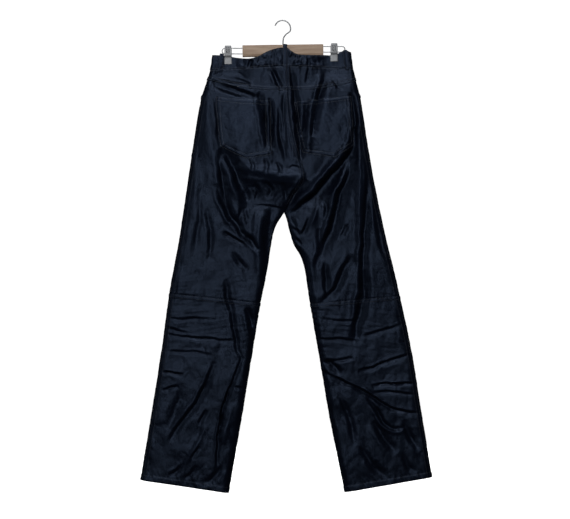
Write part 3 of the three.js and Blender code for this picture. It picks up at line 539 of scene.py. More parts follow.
def leg_relief(face, side, share, drop, x, z, width):
    fall, rise = drop - KNEE_DROP, HEM_DROP - drop
    relief = seams(face, side, share, drop, x, z, width) + wrinkles(face, side, x, z, drop)
    relief = relief + lap(fall, 10.5, 0.8) + sum(channel(fall, row) for row in SEAM_ROWS) + rounded(fall)
    relief = relief + pucker(x, fall, 54) + rounded(rise)
    hem = lap(rise, 15.5, 1.0) + channel(rise, HEM_ROW, 0.6)
    return relief + hem + pucker(x + 0.6 * rise, np.abs(rise - HEM_ROW), 55, 1.1, 9, 9)


def band_relief(face, side, share, drop, x, z, width):
    low, high = -drop, drop + BAND_HEIGHT
    relief = rounded(low, 2.4, 0.7) + rounded(high, 3.0, 1.2) + channel(low, 3) + channel(high, 3.5)
    left_patch, right_patch = np.exp(-((x + 55) / 42) ** 2), np.exp(-((x - 38) / 20) ** 2)
    crumple = 0.75 + left_patch + 0.8 * right_patch if face == BACK else 0.15
    pleats = noise(x / 7.5, z / 45, 60) * 2.2 + ridged(x / 14, z / 24, 61) * 1.0
    relief = relief + pleats * crumple + 1.8 * noise(x / 16, z / 14, 62) + 4.4 * noise(x / 26, z / 22, 65)
    relief = relief + pucker(x, low, 63, 0.5) + pucker(x, high, 64, 0.4)
    return relief * (1 - 0.7 * clip_grip(x, z)) + 0.2


def facing_relief(face, side, share, drop, x, z, width):
    return 0.4 * wrinkles(face, side, x, z, drop) - 0.6


FLY_WIDTH = 38
FLY_DROP = 165
HALF_WAIST = 185


def fly_foot(inward):
    """Drop of the flap's rounded foot, at a distance from the centre seam."""
    return FLY_DROP - FLY_WIDTH * (1 - np.sqrt(np.clip(1 - (inward / FLY_WIDTH) ** 2, 0, 1)))


def fly_relief(face, side, share, drop, x, z, width):
    inward = (1 - share) * HALF_WAIST
    edge = np.minimum(FLY_WIDTH - inward, fly_foot(inward) - drop)
    return 0.3 * noise(x / 12, z / 20, 70) + rounded(edge) + channel(edge, 3) + channel(edge, 9)


def relief_point(face, side, share, drop, relief, lift=0.0):
    """Points on the finished outer face, with their normals and how proud they stand."""
    share, drop = np.broadcast_arrays(np.asarray(share, float), np.asarray(drop, float))
    base, sunk = lay(face, side, share, drop)
    normal = outward(face, side, share, drop)
    width = place(face, side, share, drop)[2]
    height = np.clip(relief(face, side, share, drop, base[..., 0], base[..., 2], width), -1.0, 3.5)
    at_edge = share <= 0
    height = np.where(at_edge, np.clip(height, -0.3, 2.2), height)
    return base + normal * (height + lift)[..., None], base, normal, height, sunk


# Mesh helpers

def new_object(name, points, faces, material, wear_and_sheen=None):
    mesh = bpy.data.meshes.new(name)
    mesh.from_pydata((np.asarray(points) * MM).tolist(), [], [list(face) for face in faces])
    mesh.polygons.foreach_set("use_smooth", np.ones(len(mesh.polygons), bool))
    mesh.set_sharp_from_angle(angle=math.radians(70))
    if wear_and_sheen is not None:
        mesh.attributes.new("wear_and_sheen", "FLOAT", "POINT").data.foreach_set("value", wear_and_sheen.astype(np.float32))
    mesh.materials.append(material)
    mesh.update()
    obj = bpy.data.objects.new(name, mesh)
    bpy.context.scene.collection.objects.link(obj)
    return obj


def shell_faces(rows, columns):
    """Quads of a closed wall between two grids of the same size, the second listed after the first."""
    grid = np.arange(rows * columns).reshape(rows, columns)
    deep = grid + rows * columns

    def quads(a, b, c, d):
        return np.stack([np.ravel(part) for part in (a, b, c, d)], axis=-1)

    return np.concatenate([
        quads(grid[:-1, :-1], grid[1:, :-1], grid[1:, 1:], grid[:-1, 1:]),
        quads(deep[:-1, :-1], deep[:-1, 1:], deep[1:, 1:], deep[1:, :-1]),
        quads(grid[:-1, 0], deep[:-1, 0], deep[1:, 0], grid[1:, 0]),
        quads(grid[:-1, -1], grid[1:, -1], deep[1:, -1], deep[:-1, -1]),
        quads(grid[0, :-1], grid[0, 1:], deep[0, 1:], deep[0, :-1]),
        quads(grid[-1, :-1], deep[-1, :-1], deep[-1, 1:], grid[-1, 1:]),
    ])


def volume(points, faces):
    a, b, c, d = (points[faces[:, n]] for n in range(4))
    return np.einsum("ij,ij->i", a, np.cross(b, c)).sum() + np.einsum("ij,ij->i", a, np.cross(c, d)).sum()


def walls(name, grids, material, wear_and_sheen=None):
    """One piece from closed walls, each between an outer and an inner grid. The lighter-colour mask, rubbed
    wear and a painted highlight on raised leather, is the outer points'.
    """
    every_point, every_face, start = [], [], 0
    for outside, inside in grids:
        points = np.concatenate([outside.reshape(-1, 3), inside.reshape(-1, 3)])
        faces = shell_faces(*outside.shape[:2])
        if volume(points, faces) < 0:
            faces = faces[:, ::-1]
        every_point.append(points)
        every_face.append(faces + start)
        start += len(points)
    if wear_and_sheen is not None:
        wear_and_sheen = np.concatenate([wear_and_sheen.ravel(), np.zeros(wear_and_sheen.size)])
    return new_object(name, np.concatenate(every_point), np.concatenate(every_face), material, wear_and_sheen)


def ring_faces(rings, sides):
    """Faces of a closed form whose points come ring by ring, its two ends included."""
    faces = []
    for i in range(rings - 1):
        for j in range(sides):
            k = (j + 1) % sides
            faces.append((i * sides + j, i * sides + k, (i + 1) * sides + k, (i + 1) * sides + j))
    faces.append(tuple(range(sides))[::-1])
    faces.append(tuple(range((rings - 1) * sides, rings * sides)))
    return faces


def tube(name, path, radius, material, sides):
    """A round wire along a path of points."""
    path = np.array(path, float)
    tangent = np.gradient(path, axis=0)
    tangent /= np.linalg.norm(tangent, axis=1, keepdims=True)
    across = np.cross(tangent, (0.0, 1.0, 0.0))
    across[np.linalg.norm(across, axis=1) < 1e-6] = (1, 0, 0)
    across /= np.linalg.norm(across, axis=1, keepdims=True)
    other = np.cross(tangent, across)
    angle = np.linspace(0, 2 * math.pi, sides, endpoint=False)
    ring = across[:, None] * np.cos(angle)[None, :, None] + other[:, None] * np.sin(angle)[None, :, None]
    points = (path[:, None] + ring * radius).reshape(-1, 3)
    return new_object(name, points, ring_faces(len(path), sides), material)


# Materials

def node_material(name):
    material = bpy.data.materials.new(name)
    material.use_nodes = True
    nodes = material.node_tree.nodes
    links = material.node_tree.links
    return material, nodes, links, nodes["Principled BSDF"]


def texture(nodes, links, kind, scale, stretch=(1, 1, 1), **settings):
    """A procedural texture in the frame's own metres."""
    place_node = nodes.new("ShaderNodeTexCoord")
    mapping = nodes.new("ShaderNodeMapping")
    mapping.inputs["Scale"].default_value = [scale * value for value in stretch]
    node = nodes.new(kind)
    links.new(place_node.outputs["Object"], mapping.inputs["Vector"])
    links.new(mapping.outputs["Vector"], node.inputs["Vector"])
    node.inputs["Scale"].default_value = 1.0
    for key, value in settings.items():
        if key in node.inputs:
            node.inputs[key].default_value = value
        else:
            setattr(node, key, value)
    return node


def ramp(nodes, links, source, stops):
    node = nodes.new("ShaderNodeValToRGB")
    while len(node.color_ramp.elements) < len(stops):
        node.color_ramp.elements.new(0.5)
    for element, (position, colour) in zip(node.color_ramp.elements, stops):
        element.position = position
        element.color = (*colour, 1)
    links.new(source, node.inputs["Fac"])
    return node.outputs["Color"]


def math_node(nodes, links, operation, first, second):
    node = nodes.new("ShaderNodeMath")
    node.operation = operation
    for socket, value in zip(node.inputs, (first, second)):
        if isinstance(value, (int, float)):
            socket.default_value = value
        else:
            links.new(value, socket)
    return node.outputs["Value"]


def to_range(nodes, links, source, low, high):
    node = nodes.new("ShaderNodeMapRange")
    node.inputs["To Min"].default_value = low
    node.inputs["To Max"].default_value = high
    links.new(source, node.inputs["Value"])
    return node.outputs["Result"]


def bump(nodes, links, height, distance, strength, after=None):
    node = nodes.new("ShaderNodeBump")
    node.inputs["Distance"].default_value = distance
    node.inputs["Strength"].default_value = strength
    links.new(height, node.inputs["Height"])
    if after is not None:
        links.new(after, node.inputs["Normal"])
    return node.outputs["Normal"]


def leather_material(name, darkest, lightest, roughness):
    material, nodes, links, shader = node_material(name)
    pebble = texture(nodes, links, "ShaderNodeTexVoronoi", 950, feature="SMOOTH_F1", Smoothness=0.6)
    pores = texture(nodes, links, "ShaderNodeTexNoise", 2600, Detail=3.0)
    lines = texture(nodes, links, "ShaderNodeTexVoronoi", 210, (1, 1, 1.6), feature="DISTANCE_TO_EDGE")
    cloud = texture(nodes, links, "ShaderNodeTexNoise", 16, Detail=5.0, Roughness=0.6)
    rub = texture(nodes, links, "ShaderNodeTexNoise", 120, (1, 1, 0.6), Detail=6.0, Roughness=0.7)
    # The mesh attribute read here lightens the base colour where the leather stands proud: partly rubbed
    # wear, partly a painted highlight on the crests, seams and pocket edges that catch the light.
    worn_and_lit = nodes.new("ShaderNodeAttribute")
    worn_and_lit.attribute_name = "wear_and_sheen"
    mottled = to_range(nodes, links, rub.outputs["Fac"], 0.4, 1.2)
    wear_and_sheen = math_node(nodes, links, "MULTIPLY", worn_and_lit.outputs["Fac"], mottled)
    clouded = math_node(nodes, links, "MULTIPLY", cloud.outputs["Fac"], 0.75)
    tone = math_node(nodes, links, "ADD", clouded, wear_and_sheen)
    links.new(ramp(nodes, links, tone, [(0.25, darkest), (1.0, lightest)]), shader.inputs["Base Color"])
    gloss = math_node(nodes, links, "ADD", math_node(nodes, links, "MULTIPLY", rub.outputs["Fac"], 0.5),
                      math_node(nodes, links, "MULTIPLY", cloud.outputs["Fac"], 0.5))
    links.new(to_range(nodes, links, gloss, roughness + 0.12, roughness - 0.1), shader.inputs["Roughness"])
    edges = ramp(nodes, links, lines.outputs["Distance"], [(0.0, (0, 0, 0)), (0.09, (1, 1, 1))])
    normal = bump(nodes, links, edges, 0.00025, 0.25)
    normal = bump(nodes, links, pebble.outputs["Distance"], 0.0004, 0.35, normal)
    normal = bump(nodes, links, pores.outputs["Fac"], 0.0001, 0.3, normal)
    links.new(normal, shader.inputs["Normal"])
    shader.inputs["Specular IOR Level"].default_value = 0.22
    shader.inputs["Specular Tint"].default_value = (0.46, 0.63, 1.0, 1.0)
    return material


def thread_material(name, colour):
    material, nodes, links, shader = node_material(name)
    twist = texture(nodes, links, "ShaderNodeTexNoise", 1800, Detail=2.0)
    dark_ply = [value * 0.6 for value in colour]
    links.new(ramp(nodes, links, twist.outputs["Fac"], [(0.3, dark_ply), (0.7, colour)]),
              shader.inputs["Base Color"])
    links.new(to_range(nodes, links, twist.outputs["Fac"], 0.5, 0.75), shader.inputs["Roughness"])
    links.new(bump(nodes, links, twist.outputs["Fac"], 0.0002, 0.6), shader.inputs["Normal"])
    return material


def wood_material(name):
    material, nodes, links, shader = node_material(name)
    grain = texture(nodes, links, "ShaderNodeTexNoise", 260, (0.06, 1, 1), Detail=8.0, Roughness=0.65)
    bands = texture(nodes, links, "ShaderNodeTexNoise", 60, (0.05, 1, 1), Detail=2.0, Distortion=0.8)
    both = math_node(nodes, links, "ADD", math_node(nodes, links, "MULTIPLY", grain.outputs["Fac"], 0.5),
                     math_node(nodes, links, "MULTIPLY", bands.outputs["Fac"], 0.5))
    stops = [(0.35, (0.3, 0.197, 0.13)), (0.52, (0.46, 0.33, 0.235)), (0.66, (0.56, 0.43, 0.33))]
    links.new(ramp(nodes, links, both, stops), shader.inputs["Base Color"])
    links.new(to_range(nodes, links, grain.outputs["Fac"], 0.4, 0.62), shader.inputs["Roughness"])
    links.new(bump(nodes, links, grain.outputs["Fac"], 0.0003, 0.25), shader.inputs["Normal"])
    return material


def steel_material(name, colour, roughness, metallic):
    material, nodes, links, shader = node_material(name)
    rub = texture(nodes, links, "ShaderNodeTexNoise", 500, (1, 1, 0.15), Detail=5.0)
    stops = [(0.3, [value * 0.8 for value in colour]), (0.7, colour)]
    links.new(ramp(nodes, links, rub.outputs["Fac"], stops), shader.inputs["Base Color"])
    dulled = to_range(nodes, links, rub.outputs["Fac"], roughness * 0.7, roughness * 1.4)
    links.new(dulled, shader.inputs["Roughness"])
    links.new(bump(nodes, links, rub.outputs["Fac"], 0.0001, 0.15), shader.inputs["Normal"])
    shader.inputs["Metallic"].default_value = metallic
    return material


LEATHER = leather_material("leather", (0.0012, 0.0019, 0.0046), (0.0056, 0.0083, 0.0165), 0.28)
RAW_LEATHER = leather_material("raw_leather", (0.05, 0.028, 0.018), (0.12, 0.07, 0.045), 0.75)
# A lighter copy of the thread colour: a painted highlight that stands in for the light catching the puffed
# seams of the yoke, the back pockets and the waistband; the dark thread is the thread's own colour.
PAINTED_SHEEN_THREAD = thread_material("thread", (0.085, 0.1, 0.13))
DARK_THREAD = thread_material("dark_thread", (0.03, 0.036, 0.052))
WOOD = wood_material("wood")
WIRE = steel_material("wire", (0.42, 0.43, 0.45), 0.36, 0.6)
PLATE = steel_material("plate", (0.27, 0.275, 0.285), 0.46, 0.8)


# Leather pieces

def even_shares(count, width, depth=17.0):
    """Shares from the side edge to the inner edge, evenly spaced along a rounded panel's surface."""
    fine = np.linspace(0, 1, 4001)
    rounding = depth * EDGE_ROUNDING / width
    height = depth * edge_rise(fine / rounding) * edge_rise((1 - fine) / rounding)
    run = np.concatenate([[0], np.cumsum(np.hypot(np.diff(fine) * width, np.diff(height)))])
    return np.interp(np.linspace(0, run[-1], count + 1), run, fine)


def cloth(name, face, parts, relief, lift=0.0, thickness=WALL):
    """A leather wall over grids of (side, share, drop), joined side by side."""
    outs, ins, worn_and_lit = [], [], []
    for side, share, drop in parts:
        out, base, normal, height, sunk = relief_point(face, side, share, drop, relief, lift)
        outs.append(out)
        ins.append(base + normal * (lift - thickness))
        # Raised folds and relief get a lighter colour: a painted highlight on the crests, and rubbed wear.
        proud = np.clip(-sunk / 5, 0, 1) * 0.5 + np.clip(height / 2.2, 0, 1) * 0.5
        worn_and_lit.append(np.clip(proud, 0, 1))
    joined = [np.concatenate(grids, axis=1) for grids in (outs, ins)]
    return walls(name, [joined], LEATHER, np.concatenate(worn_and_lit, axis=1))


def fanned(first, last, rows):
    """Rows of drops from one line of drops to another."""
    step = np.linspace(0, 1, rows + 1)[:, None]
    return mix(np.asarray(first, float)[None, :], np.asarray(last, float)[None, :], step)


def finish_piece(obj, key, slot, *nodes):
    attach(obj, "root")
    if nodes:
        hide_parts(*nodes)
    return obj


def leather(key, face, parts, relief, lift=0.0, thickness=WALL):
    """A leather piece that stands for the solid of the same name."""
    parts = [(side, np.broadcast_to(share, drop.shape), drop) for side, share, drop in parts]
    finish_piece(cloth(f"{key}_leather", face, parts, relief, lift, thickness), key, "leather", key)


PANEL_WIDTH = 225
BACK_SHARES = even_shares(124, PANEL_WIDTH)
LOWER_SHARES = even_shares(116, PANEL_WIDTH)
FRONT_SHARES = even_shares(78, PANEL_WIDTH)
HALF = SEAM_GAP / 2
MOUTH_COLUMNS = 40
FACING_EDGE = 1.4
FACING_LIFT = -0.8


def full(shares_row, value):
    return np.full(len(shares_row), float(value))


def below_crotch(shares_row, rows):
    """Rows of drops from the crotch to the knee seam, without the first."""
    return fanned(full(shares_row, CROTCH_DROP), full(shares_row, KNEE_DROP - HALF), rows)[1:]


def below_knee(shares_row, rows):
    return fanned(full(shares_row, KNEE_DROP + HALF), full(shares_row, HEM_DROP), rows)


for word, side in SIDES:
    seam = yoke_drop(side, BACK_SHARES)
    upper = fanned(seam + HALF, full(BACK_SHARES, CROTCH_DROP), 138)
    drop = np.concatenate([upper, below_crotch(BACK_SHARES, 92)])
    leather(f"back_panel_{word}", BACK, [(side, BACK_SHARES, drop)], panel_relief)
    drop = fanned(full(BACK_SHARES, HALF), seam - HALF, 28)
    leather(f"yoke_{word}", BACK, [(side, BACK_SHARES, drop)], yoke_relief)
    drop = below_knee(LOWER_SHARES, 190)
    leather(f"back_lower_leg_{word}", BACK, [(side, LOWER_SHARES, drop)], leg_relief)

    # The front panel's columns crowd up to the end of the pocket mouth at its top
    start = np.concatenate([
        MOUTH_SHARE * np.sin(np.linspace(0, math.pi / 2, MOUTH_COLUMNS + 1)),
        np.linspace(MOUTH_SHARE, 1, len(FRONT_SHARES) - MOUTH_COLUMNS)[1:],
    ])
    step = np.linspace(0, 1, 131)[:, None]
    upper = mix(mouth_drop(start) + HALF, CROTCH_DROP, step)
    upper_share = mix(start, FRONT_SHARES, smooth(step * 1.6))
    lower = below_crotch(FRONT_SHARES, 72)
    drop = np.concatenate([upper, lower])
    share = np.concatenate([upper_share, np.broadcast_to(FRONT_SHARES, lower.shape)])
    leather(f"front_panel_{word}", FRONT, [(side, share, drop)], panel_relief)
    drop = below_knee(FRONT_SHARES, 150)
    leather(f"front_lower_leg_{word}", FRONT, [(side, FRONT_SHARES, drop)], leg_relief)
    across = MOUTH_SHARE * np.sin(np.linspace(0, math.pi / 2 * 0.93, 44))
    drop = fanned(full(across, HALF), mouth_drop(across) - FACING_EDGE, 30)
    leather(f"pocket_facing_{word}", FRONT, [(side, across, drop)], facing_relief, FACING_LIFT)

# The waistbands


def band_part(side, row, rows):
    """A half of the band, from its seam up."""
    rise = np.linspace(-HALF, -BAND_HEIGHT, rows)[:, None]
    return side, row, np.broadcast_to(rise, (rows, len(row)))


BAND_DEPTH = 13.0
band_half = even_shares(100, 190, BAND_DEPTH)
halves = [band_part(LEFT, band_half, 24), band_part(RIGHT, band_half[:-1][::-1], 24)]
leather("waistband_back", BACK, halves, band_relief, 0, BAND_WALL)
for word, side in SIDES:
    row = even_shares(84, HALF_WAIST, BAND_DEPTH) * (1 - HALF / HALF_WAIST)
    leather(f"waistband_front_{word}", FRONT, [band_part(side, row, 20)], band_relief, 0, BAND_WALL)

# The fly flap
inward = FLY_WIDTH * np.linspace(1, 0, 27) ** 0.8
drop = fanned(full(inward, 1), fly_foot(inward), 80)


def flap_relief(*where):
    return panel_relief(*where) * 0.6 + fly_relief(*where)


flap_part = (LEFT, 1 - inward / HALF_WAIST, drop)
leather("fly_flap", FRONT, [flap_part], flap_relief, LAY_GAP + PATCH_WALL, PATCH_WALL)


def pocket_place(side, u, v):
    """Share and drop of a place on a back pocket: u from its outer to its inner side, v from top to foot."""
    top, low = POCKETS[side]["top"], POCKETS[side]["low"]
    corners = [0, 0.5, 1]
    share = mix(np.interp(u, corners, top["share"]), np.interp(u, corners, low["share"]), v)
    drop = mix(np.interp(u, corners, top["drop"]), np.interp(u, corners, low["drop"]), v)
    return share, drop


POCKET_HEIGHT = 134
POCKET_PANEL_WIDTH = 205
POCKET_ROWS = (2.4, 10.8)


def pocket_size(side):
    top = POCKETS[side]["top"]["share"]
    return (top[-1] - top[0]) * POCKET_PANEL_WIDTH


def pocket_relief_at(side, u, v):
    """A pocket's own relief over the panel's."""
    width = pocket_size(side)
    sides = np.minimum(u, 1 - u) * width
    foot = (1 - v) * POCKET_HEIGHT
    edge = np.minimum(sides, foot)
    mouth = v * POCKET_HEIGHT
    arch = np.sin(math.pi * u)
    belly = 2.2 * arch ** 0.8 * smooth(1 - v * 0.9) + 1.0 * arch * np.sin(math.pi * v)
    rows = sum(channel(away, row, 0.6) for away in (edge, mouth) for row in POCKET_ROWS)
    rows = rows + 0.6 * np.exp(-((np.minimum(edge, mouth) - 6.5) / 2.6) ** 2)
    cross = 0.5 * noise(u * width / 22, v * POCKET_HEIGHT / 6, 80 + side) * smooth(edge / 14)
    cross = cross + 2.4 * noise(u * width / 36, v * POCKET_HEIGHT / 44, 86 + side) * smooth(edge / 20)
    slanting = ridged((u * width + v * 40) / 22, v * POCKET_HEIGHT / 40, 88 + side)
    cross = cross + 0.4 * slanting * smooth(edge / 20)
    turned = lap(mouth, 15, 0.5) - 0.5 * np.clip(1 - edge / 1.6, 0, 1) - 0.4 * np.clip(1 - mouth / 1.6, 0, 1)
    gathered = pucker(u * width + v * POCKET_HEIGHT, edge, 82 + side, 0.45, 8)
    return belly + rows + cross + turned + gathered


def pocket_points(side, u, v, lift):
    share, drop = pocket_place(side, u, v)
    out, base, normal, height, sunk = relief_point(BACK, side, share, drop, panel_relief, lift)
    own = np.clip(pocket_relief_at(side, u, v), -0.5, 4.5)
    return out, normal, own


def pocket_thread(side, u, v):
    """A line of stitches on a back pocket, with its normals."""
    under, normal, own = pocket_points(side, u, v, LAY_GAP)
    lift = np.clip(own, 0, None) * 0.8 + PATCH_WALL + np.clip(own, -0.5, 0.5) * 0.5 + 0.1
    return under + normal * lift[:, None], normal


for word, side in SIDES:
    u, v = np.meshgrid(np.linspace(0, 1, 73), np.linspace(0, 1, 67))
    under, normal, own = pocket_points(side, u, v, LAY_GAP)
    swell = np.clip(own, 0, None)[..., None] * 0.8
    inside = under + normal * swell
    outside = under + normal * (swell + PATCH_WALL + np.clip(own, -0.5, 0.5)[..., None] * 0.5)
    key = f"back_pocket_{word}"
    # The pocket's raised relief gets a lighter colour: a painted highlight where light catches it, and rubbed
    # wear.
    piece = walls(f"{key}_leather", [(outside, inside)], LEATHER, np.clip(own / 4, 0, 1))
    finish_piece(piece, key, "leather", key)


# Belt loops

def share_at(face, x):
    """The side and the share at which a place x lies on the waistband."""
    side = LEFT if x < CENTRE_SEAM[face]["x"][1] else RIGHT
    outer = curve(SIDE_SEAM[side], "drop", "x", -BAND_HEIGHT / 2)
    inner = curve(CENTRE_SEAM[face], "drop", "x", -BAND_HEIGHT / 2)
    return side, float((x - outer) / (inner - outer))


def loop_grid(loop, columns=9, rows=30):
    """Centre-line places of a belt loop: points under it, and how far along it they are."""
    inside = np.zeros((rows, columns, 3))
    levels = np.linspace(0, 1, rows)
    for j, offset in enumerate(np.linspace(-0.5, 0.5, columns)):
        side, share = share_at(loop.face, loop.x + offset * LOOP_WIDTH)
        drops = mix(loop.below, -BAND_HEIGHT, levels)
        base = lay(loop.face, side, np.full(rows, share), drops)[0]
        lift = np.interp(levels, [0, 0.12, 0.3, 0.62, 0.9, 1], [loop.foot + 0.5, 1.2, 2.4, 2.8, 2.2, 1.8])
        base[:, 1] += loop.face * (LAY_GAP + lift + 0.6)
        base[:, 2] += loop.above * smooth((levels - 0.85) / 0.15)
        inside[:, j] = base
    return inside


for loop in BELT_LOOPS:
    inside = loop_grid(loop)
    across = np.linspace(-1, 1, inside.shape[1])[None, :]
    down = np.linspace(0, 1, inside.shape[0])[:, None]
    crown = 0.5 * (1 - across ** 4) - 0.35 * np.exp(-((np.abs(across) - 0.66) / 0.12) ** 2)
    crown = crown + 0.15 * noise(down * 8, across + 3, 90)
    outside = inside.copy()
    outside[..., 1] += loop.face * (PATCH_WALL - 0.4 + crown)
    # The loops get an even half of the lighter colour: painted sheen on the standing leather, and rubbed
    # wear.
    obj = walls(f"{loop.name}_leather", [(outside, inside)], LEATHER, np.full(outside.shape[:2], 0.5))
    obj.data.materials.append(RAW_LEATHER)
    top = max(vertex.co.z for vertex in obj.data.vertices)
    for polygon in obj.data.polygons:
        cut_end = polygon.normal.z > 0.5 and polygon.center.z > top - 2 * MM
        polygon.material_index = int(cut_end)
    finish_piece(obj, loop.name, "leather", loop.name)

# Threads

STITCH_PITCH = 3.6
STITCH_LENGTH = 2.9
THREAD_RADIUS = 0.38
STITCH_SIDES = 5


def stitches(points, normals):
    """Points and faces of a row of short thread capsules along a line on the leather."""
    run = np.concatenate([[0], np.cumsum(np.linalg.norm(np.diff(points, axis=0), axis=1))])
    count = int(run[-1] // STITCH_PITCH)
    if count < 1:
        return np.zeros((0, 3)), []
    centres = (np.arange(count) + 0.5) * run[-1] / count
    levels = np.array([-0.5, -0.3, 0.3, 0.5])
    sizes = np.array([0.4, 1.0, 1.0, 0.4])
    rises = np.array([-0.25, 0.12, 0.12, -0.25])
    angle = np.linspace(0, 2 * math.pi, STITCH_SIDES, endpoint=False)
    at = centres[:, None] + levels[None, :] * STITCH_LENGTH
    spine = np.stack([np.interp(at, run, points[:, n]) for n in range(3)], axis=-1)
    normal = np.stack([np.interp(centres, run, normals[:, n]) for n in range(3)], axis=-1)
    normal /= np.linalg.norm(normal, axis=1, keepdims=True)
    along = spine[:, -1] - spine[:, 0]
    along /= np.linalg.norm(along, axis=1, keepdims=True)
    across = np.cross(along, normal)
    across /= np.linalg.norm(across, axis=1, keepdims=True)
    spine = spine + normal[:, None] * rises[None, :, None]
    ring = across[:, None, None] * np.cos(angle)[:, None] + normal[:, None, None] * np.sin(angle)[:, None]
    spots = spine[:, :, None] + ring * (sizes * THREAD_RADIUS)[None, :, None, None]
    block = ring_faces(len(levels), STITCH_SIDES)
    each = len(levels) * STITCH_SIDES
    faces = [tuple(n * each + index for index in face) for n in range(count) for face in block]
    return spots.reshape(-1, 3), faces


def thread_piece(name, rows, material=DARK_THREAD):
    """One piece of thread from several rows of stitches."""
    points, faces, start = [], [], 0
    for line, normals in rows:
        spots, quads = stitches(line, normals)
        points.append(spots)
        faces += [tuple(start + index for index in face) for face in quads]
        start += len(spots)
    return finish_piece(new_object(name, np.concatenate(points), faces, material), name, "thread")


def on_surface(face, side, share, drop, relief, lift=0.1):
    point, _, normal, _, _ = relief_point(face, side, share, drop, relief, lift)
    return point, normal


for word, side in SIDES:
    rows = []
    fine = np.linspace(0.02, 0.995, 260)
    for row in SEAM_ROWS:
        rows.append(on_surface(BACK, side, fine, yoke_drop(side, fine) - row, yoke_relief))
    rows.append(on_surface(BACK, side, fine, np.full(260, 3.0), yoke_relief))
    # Lighter thread: painted highlight along the yoke seam.
    thread_piece(f"yoke_thread_{word}", rows, PAINTED_SHEEN_THREAD)

    rows = []
    for face in (BACK, FRONT):
        level = np.linspace(0.02, 0.98, 240)
        for row in SEAM_ROWS:
            rows.append(on_surface(face, side, level, np.full(240, KNEE_DROP + row), leg_relief))
        rows.append(on_surface(face, side, level, np.full(240, HEM_DROP - HEM_ROW), leg_relief))
    thread_piece(f"knee_and_hem_thread_{word}", rows)

    rows = []
    spans = ((66.0, KNEE_DROP - 2.0, panel_relief), (KNEE_DROP + 2.0, HEM_DROP - 2.0, leg_relief))
    for first, last, relief in spans:
        drops = np.linspace(first, last, 420)
        for face in (BACK, FRONT):
            width = place(face, side, np.zeros(420), drops)[2]
            for row in OUTSEAM_ROWS:
                rows.append(on_surface(face, side, row / width, drops, relief))
    thread_piece(f"outseam_thread_{word}", rows)

    drops = np.linspace(4, CROTCH_DROP - 20, 300)
    width = place(BACK, side, np.zeros(300), drops)[2]
    share = 1 - CENTRE_ROW / width
    upper = drops < yoke_drop(side, share) - 1
    rows = [on_surface(BACK, side, share[upper], drops[upper], yoke_relief)]
    lower = drops > yoke_drop(side, share) + 1
    rows.append(on_surface(BACK, side, share[lower], drops[lower], panel_relief))
    thread_piece(f"centre_seam_thread_{word}", rows)

    rows = []
    size = pocket_size(side)
    for row in POCKET_ROWS:
        across_at, foot_at = row / size, 1 - row / POCKET_HEIGHT
        down, over = np.linspace(0.01, foot_at, 120), np.linspace(across_at, 1 - across_at, 120)
        u = np.concatenate([np.full(120, across_at), over, np.full(120, 1 - across_at)])
        v = np.concatenate([down, np.full(120, foot_at), down[::-1]])
        rows.append(pocket_thread(side, u, v))
    for row in POCKET_ROWS:
        rows.append(pocket_thread(side, np.linspace(0.03, 0.97, 160), np.full(160, row / POCKET_HEIGHT)))
    # Lighter thread: painted highlight along the pocket edges.
    thread_piece(f"back_pocket_thread_{word}", rows, PAINTED_SHEEN_THREAD)

    rows = []
    level = MOUTH_SHARE * np.sin(np.linspace(0.05, math.pi / 2, 160))
    for row in SEAM_ROWS:
        rows.append(on_surface(FRONT, side, level, mouth_drop(level) + row, panel_relief))
    thread_piece(f"front_pocket_thread_{word}", rows)

rows = []
for side in (LEFT, RIGHT):
    level = np.linspace(0.02, 0.998, 300)
    for height in (-3.0, -BAND_HEIGHT + 3.5):
        rows.append(on_surface(BACK, side, level, np.full(300, height), band_relief))
        rows.append(on_surface(FRONT, side, level, np.full(300, height), band_relief))
# Lighter thread: painted highlight along the waistband seams.
thread_piece("waistband_thread", rows, PAINTED_SHEEN_THREAD)

rows = []
for inset in (3, 9):
    reach = FLY_WIDTH - inset
    turn = np.linspace(0, math.pi / 2, 60)
    inward = np.concatenate([np.full(120, reach), reach * np.cos(turn)])
    straight = FLY_DROP - FLY_WIDTH
    down = np.concatenate([np.linspace(4, straight, 120), straight + reach * np.sin(turn)])
    lift = LAY_GAP + PATCH_WALL + 0.1
    rows.append(on_surface(FRONT, LEFT, 1 - inward / HALF_WAIST, down, flap_relief, lift))
thread_piece("fly_thread", rows)

rows = []
for loop in BELT_LOOPS:
    inside = loop_grid(loop)
    for column in (1, -2):
        line = inside[1:-1, column].copy()
        line[:, 1] += loop.face * (PATCH_WALL + 0.05)
        rows.append((line, np.tile((0.0, float(loop.face), 0.0), (len(line), 1))))
    for row in (2, 3, 26, 27):
        line = inside[row].copy()
        line[:, 1] += loop.face * (PATCH_WALL + 0.25)
        rows.append((line, np.tile((0.0, float(loop.face), 0.0), (len(line), 1))))
thread_piece("belt_loop_thread", rows)

# The waist button

BUTTON = {"x": -9, "z": -127}


def turned(name, profile, centre, axis, material, sides=40):
    """A turned form: profile of (radius, height) points round an axis through a centre."""
    axis = np.array(axis, float)
    first = np.cross(axis, (0.3, 0.5, 0.8))
    first /= np.linalg.norm(first)
    second = np.cross(axis, first)
    angle = np.linspace(0, 2 * math.pi, sides, endpoint=False)
    points = []
    for radius, height in profile:
        ring = first * np.cos(angle)[:, None] + second * np.sin(angle)[:, None]
        points.append(np.array(centre) + axis * height + ring * max(radius, 0.01))
    return new_object(name, np.concatenate(points), ring_faces(len(profile), sides), material)


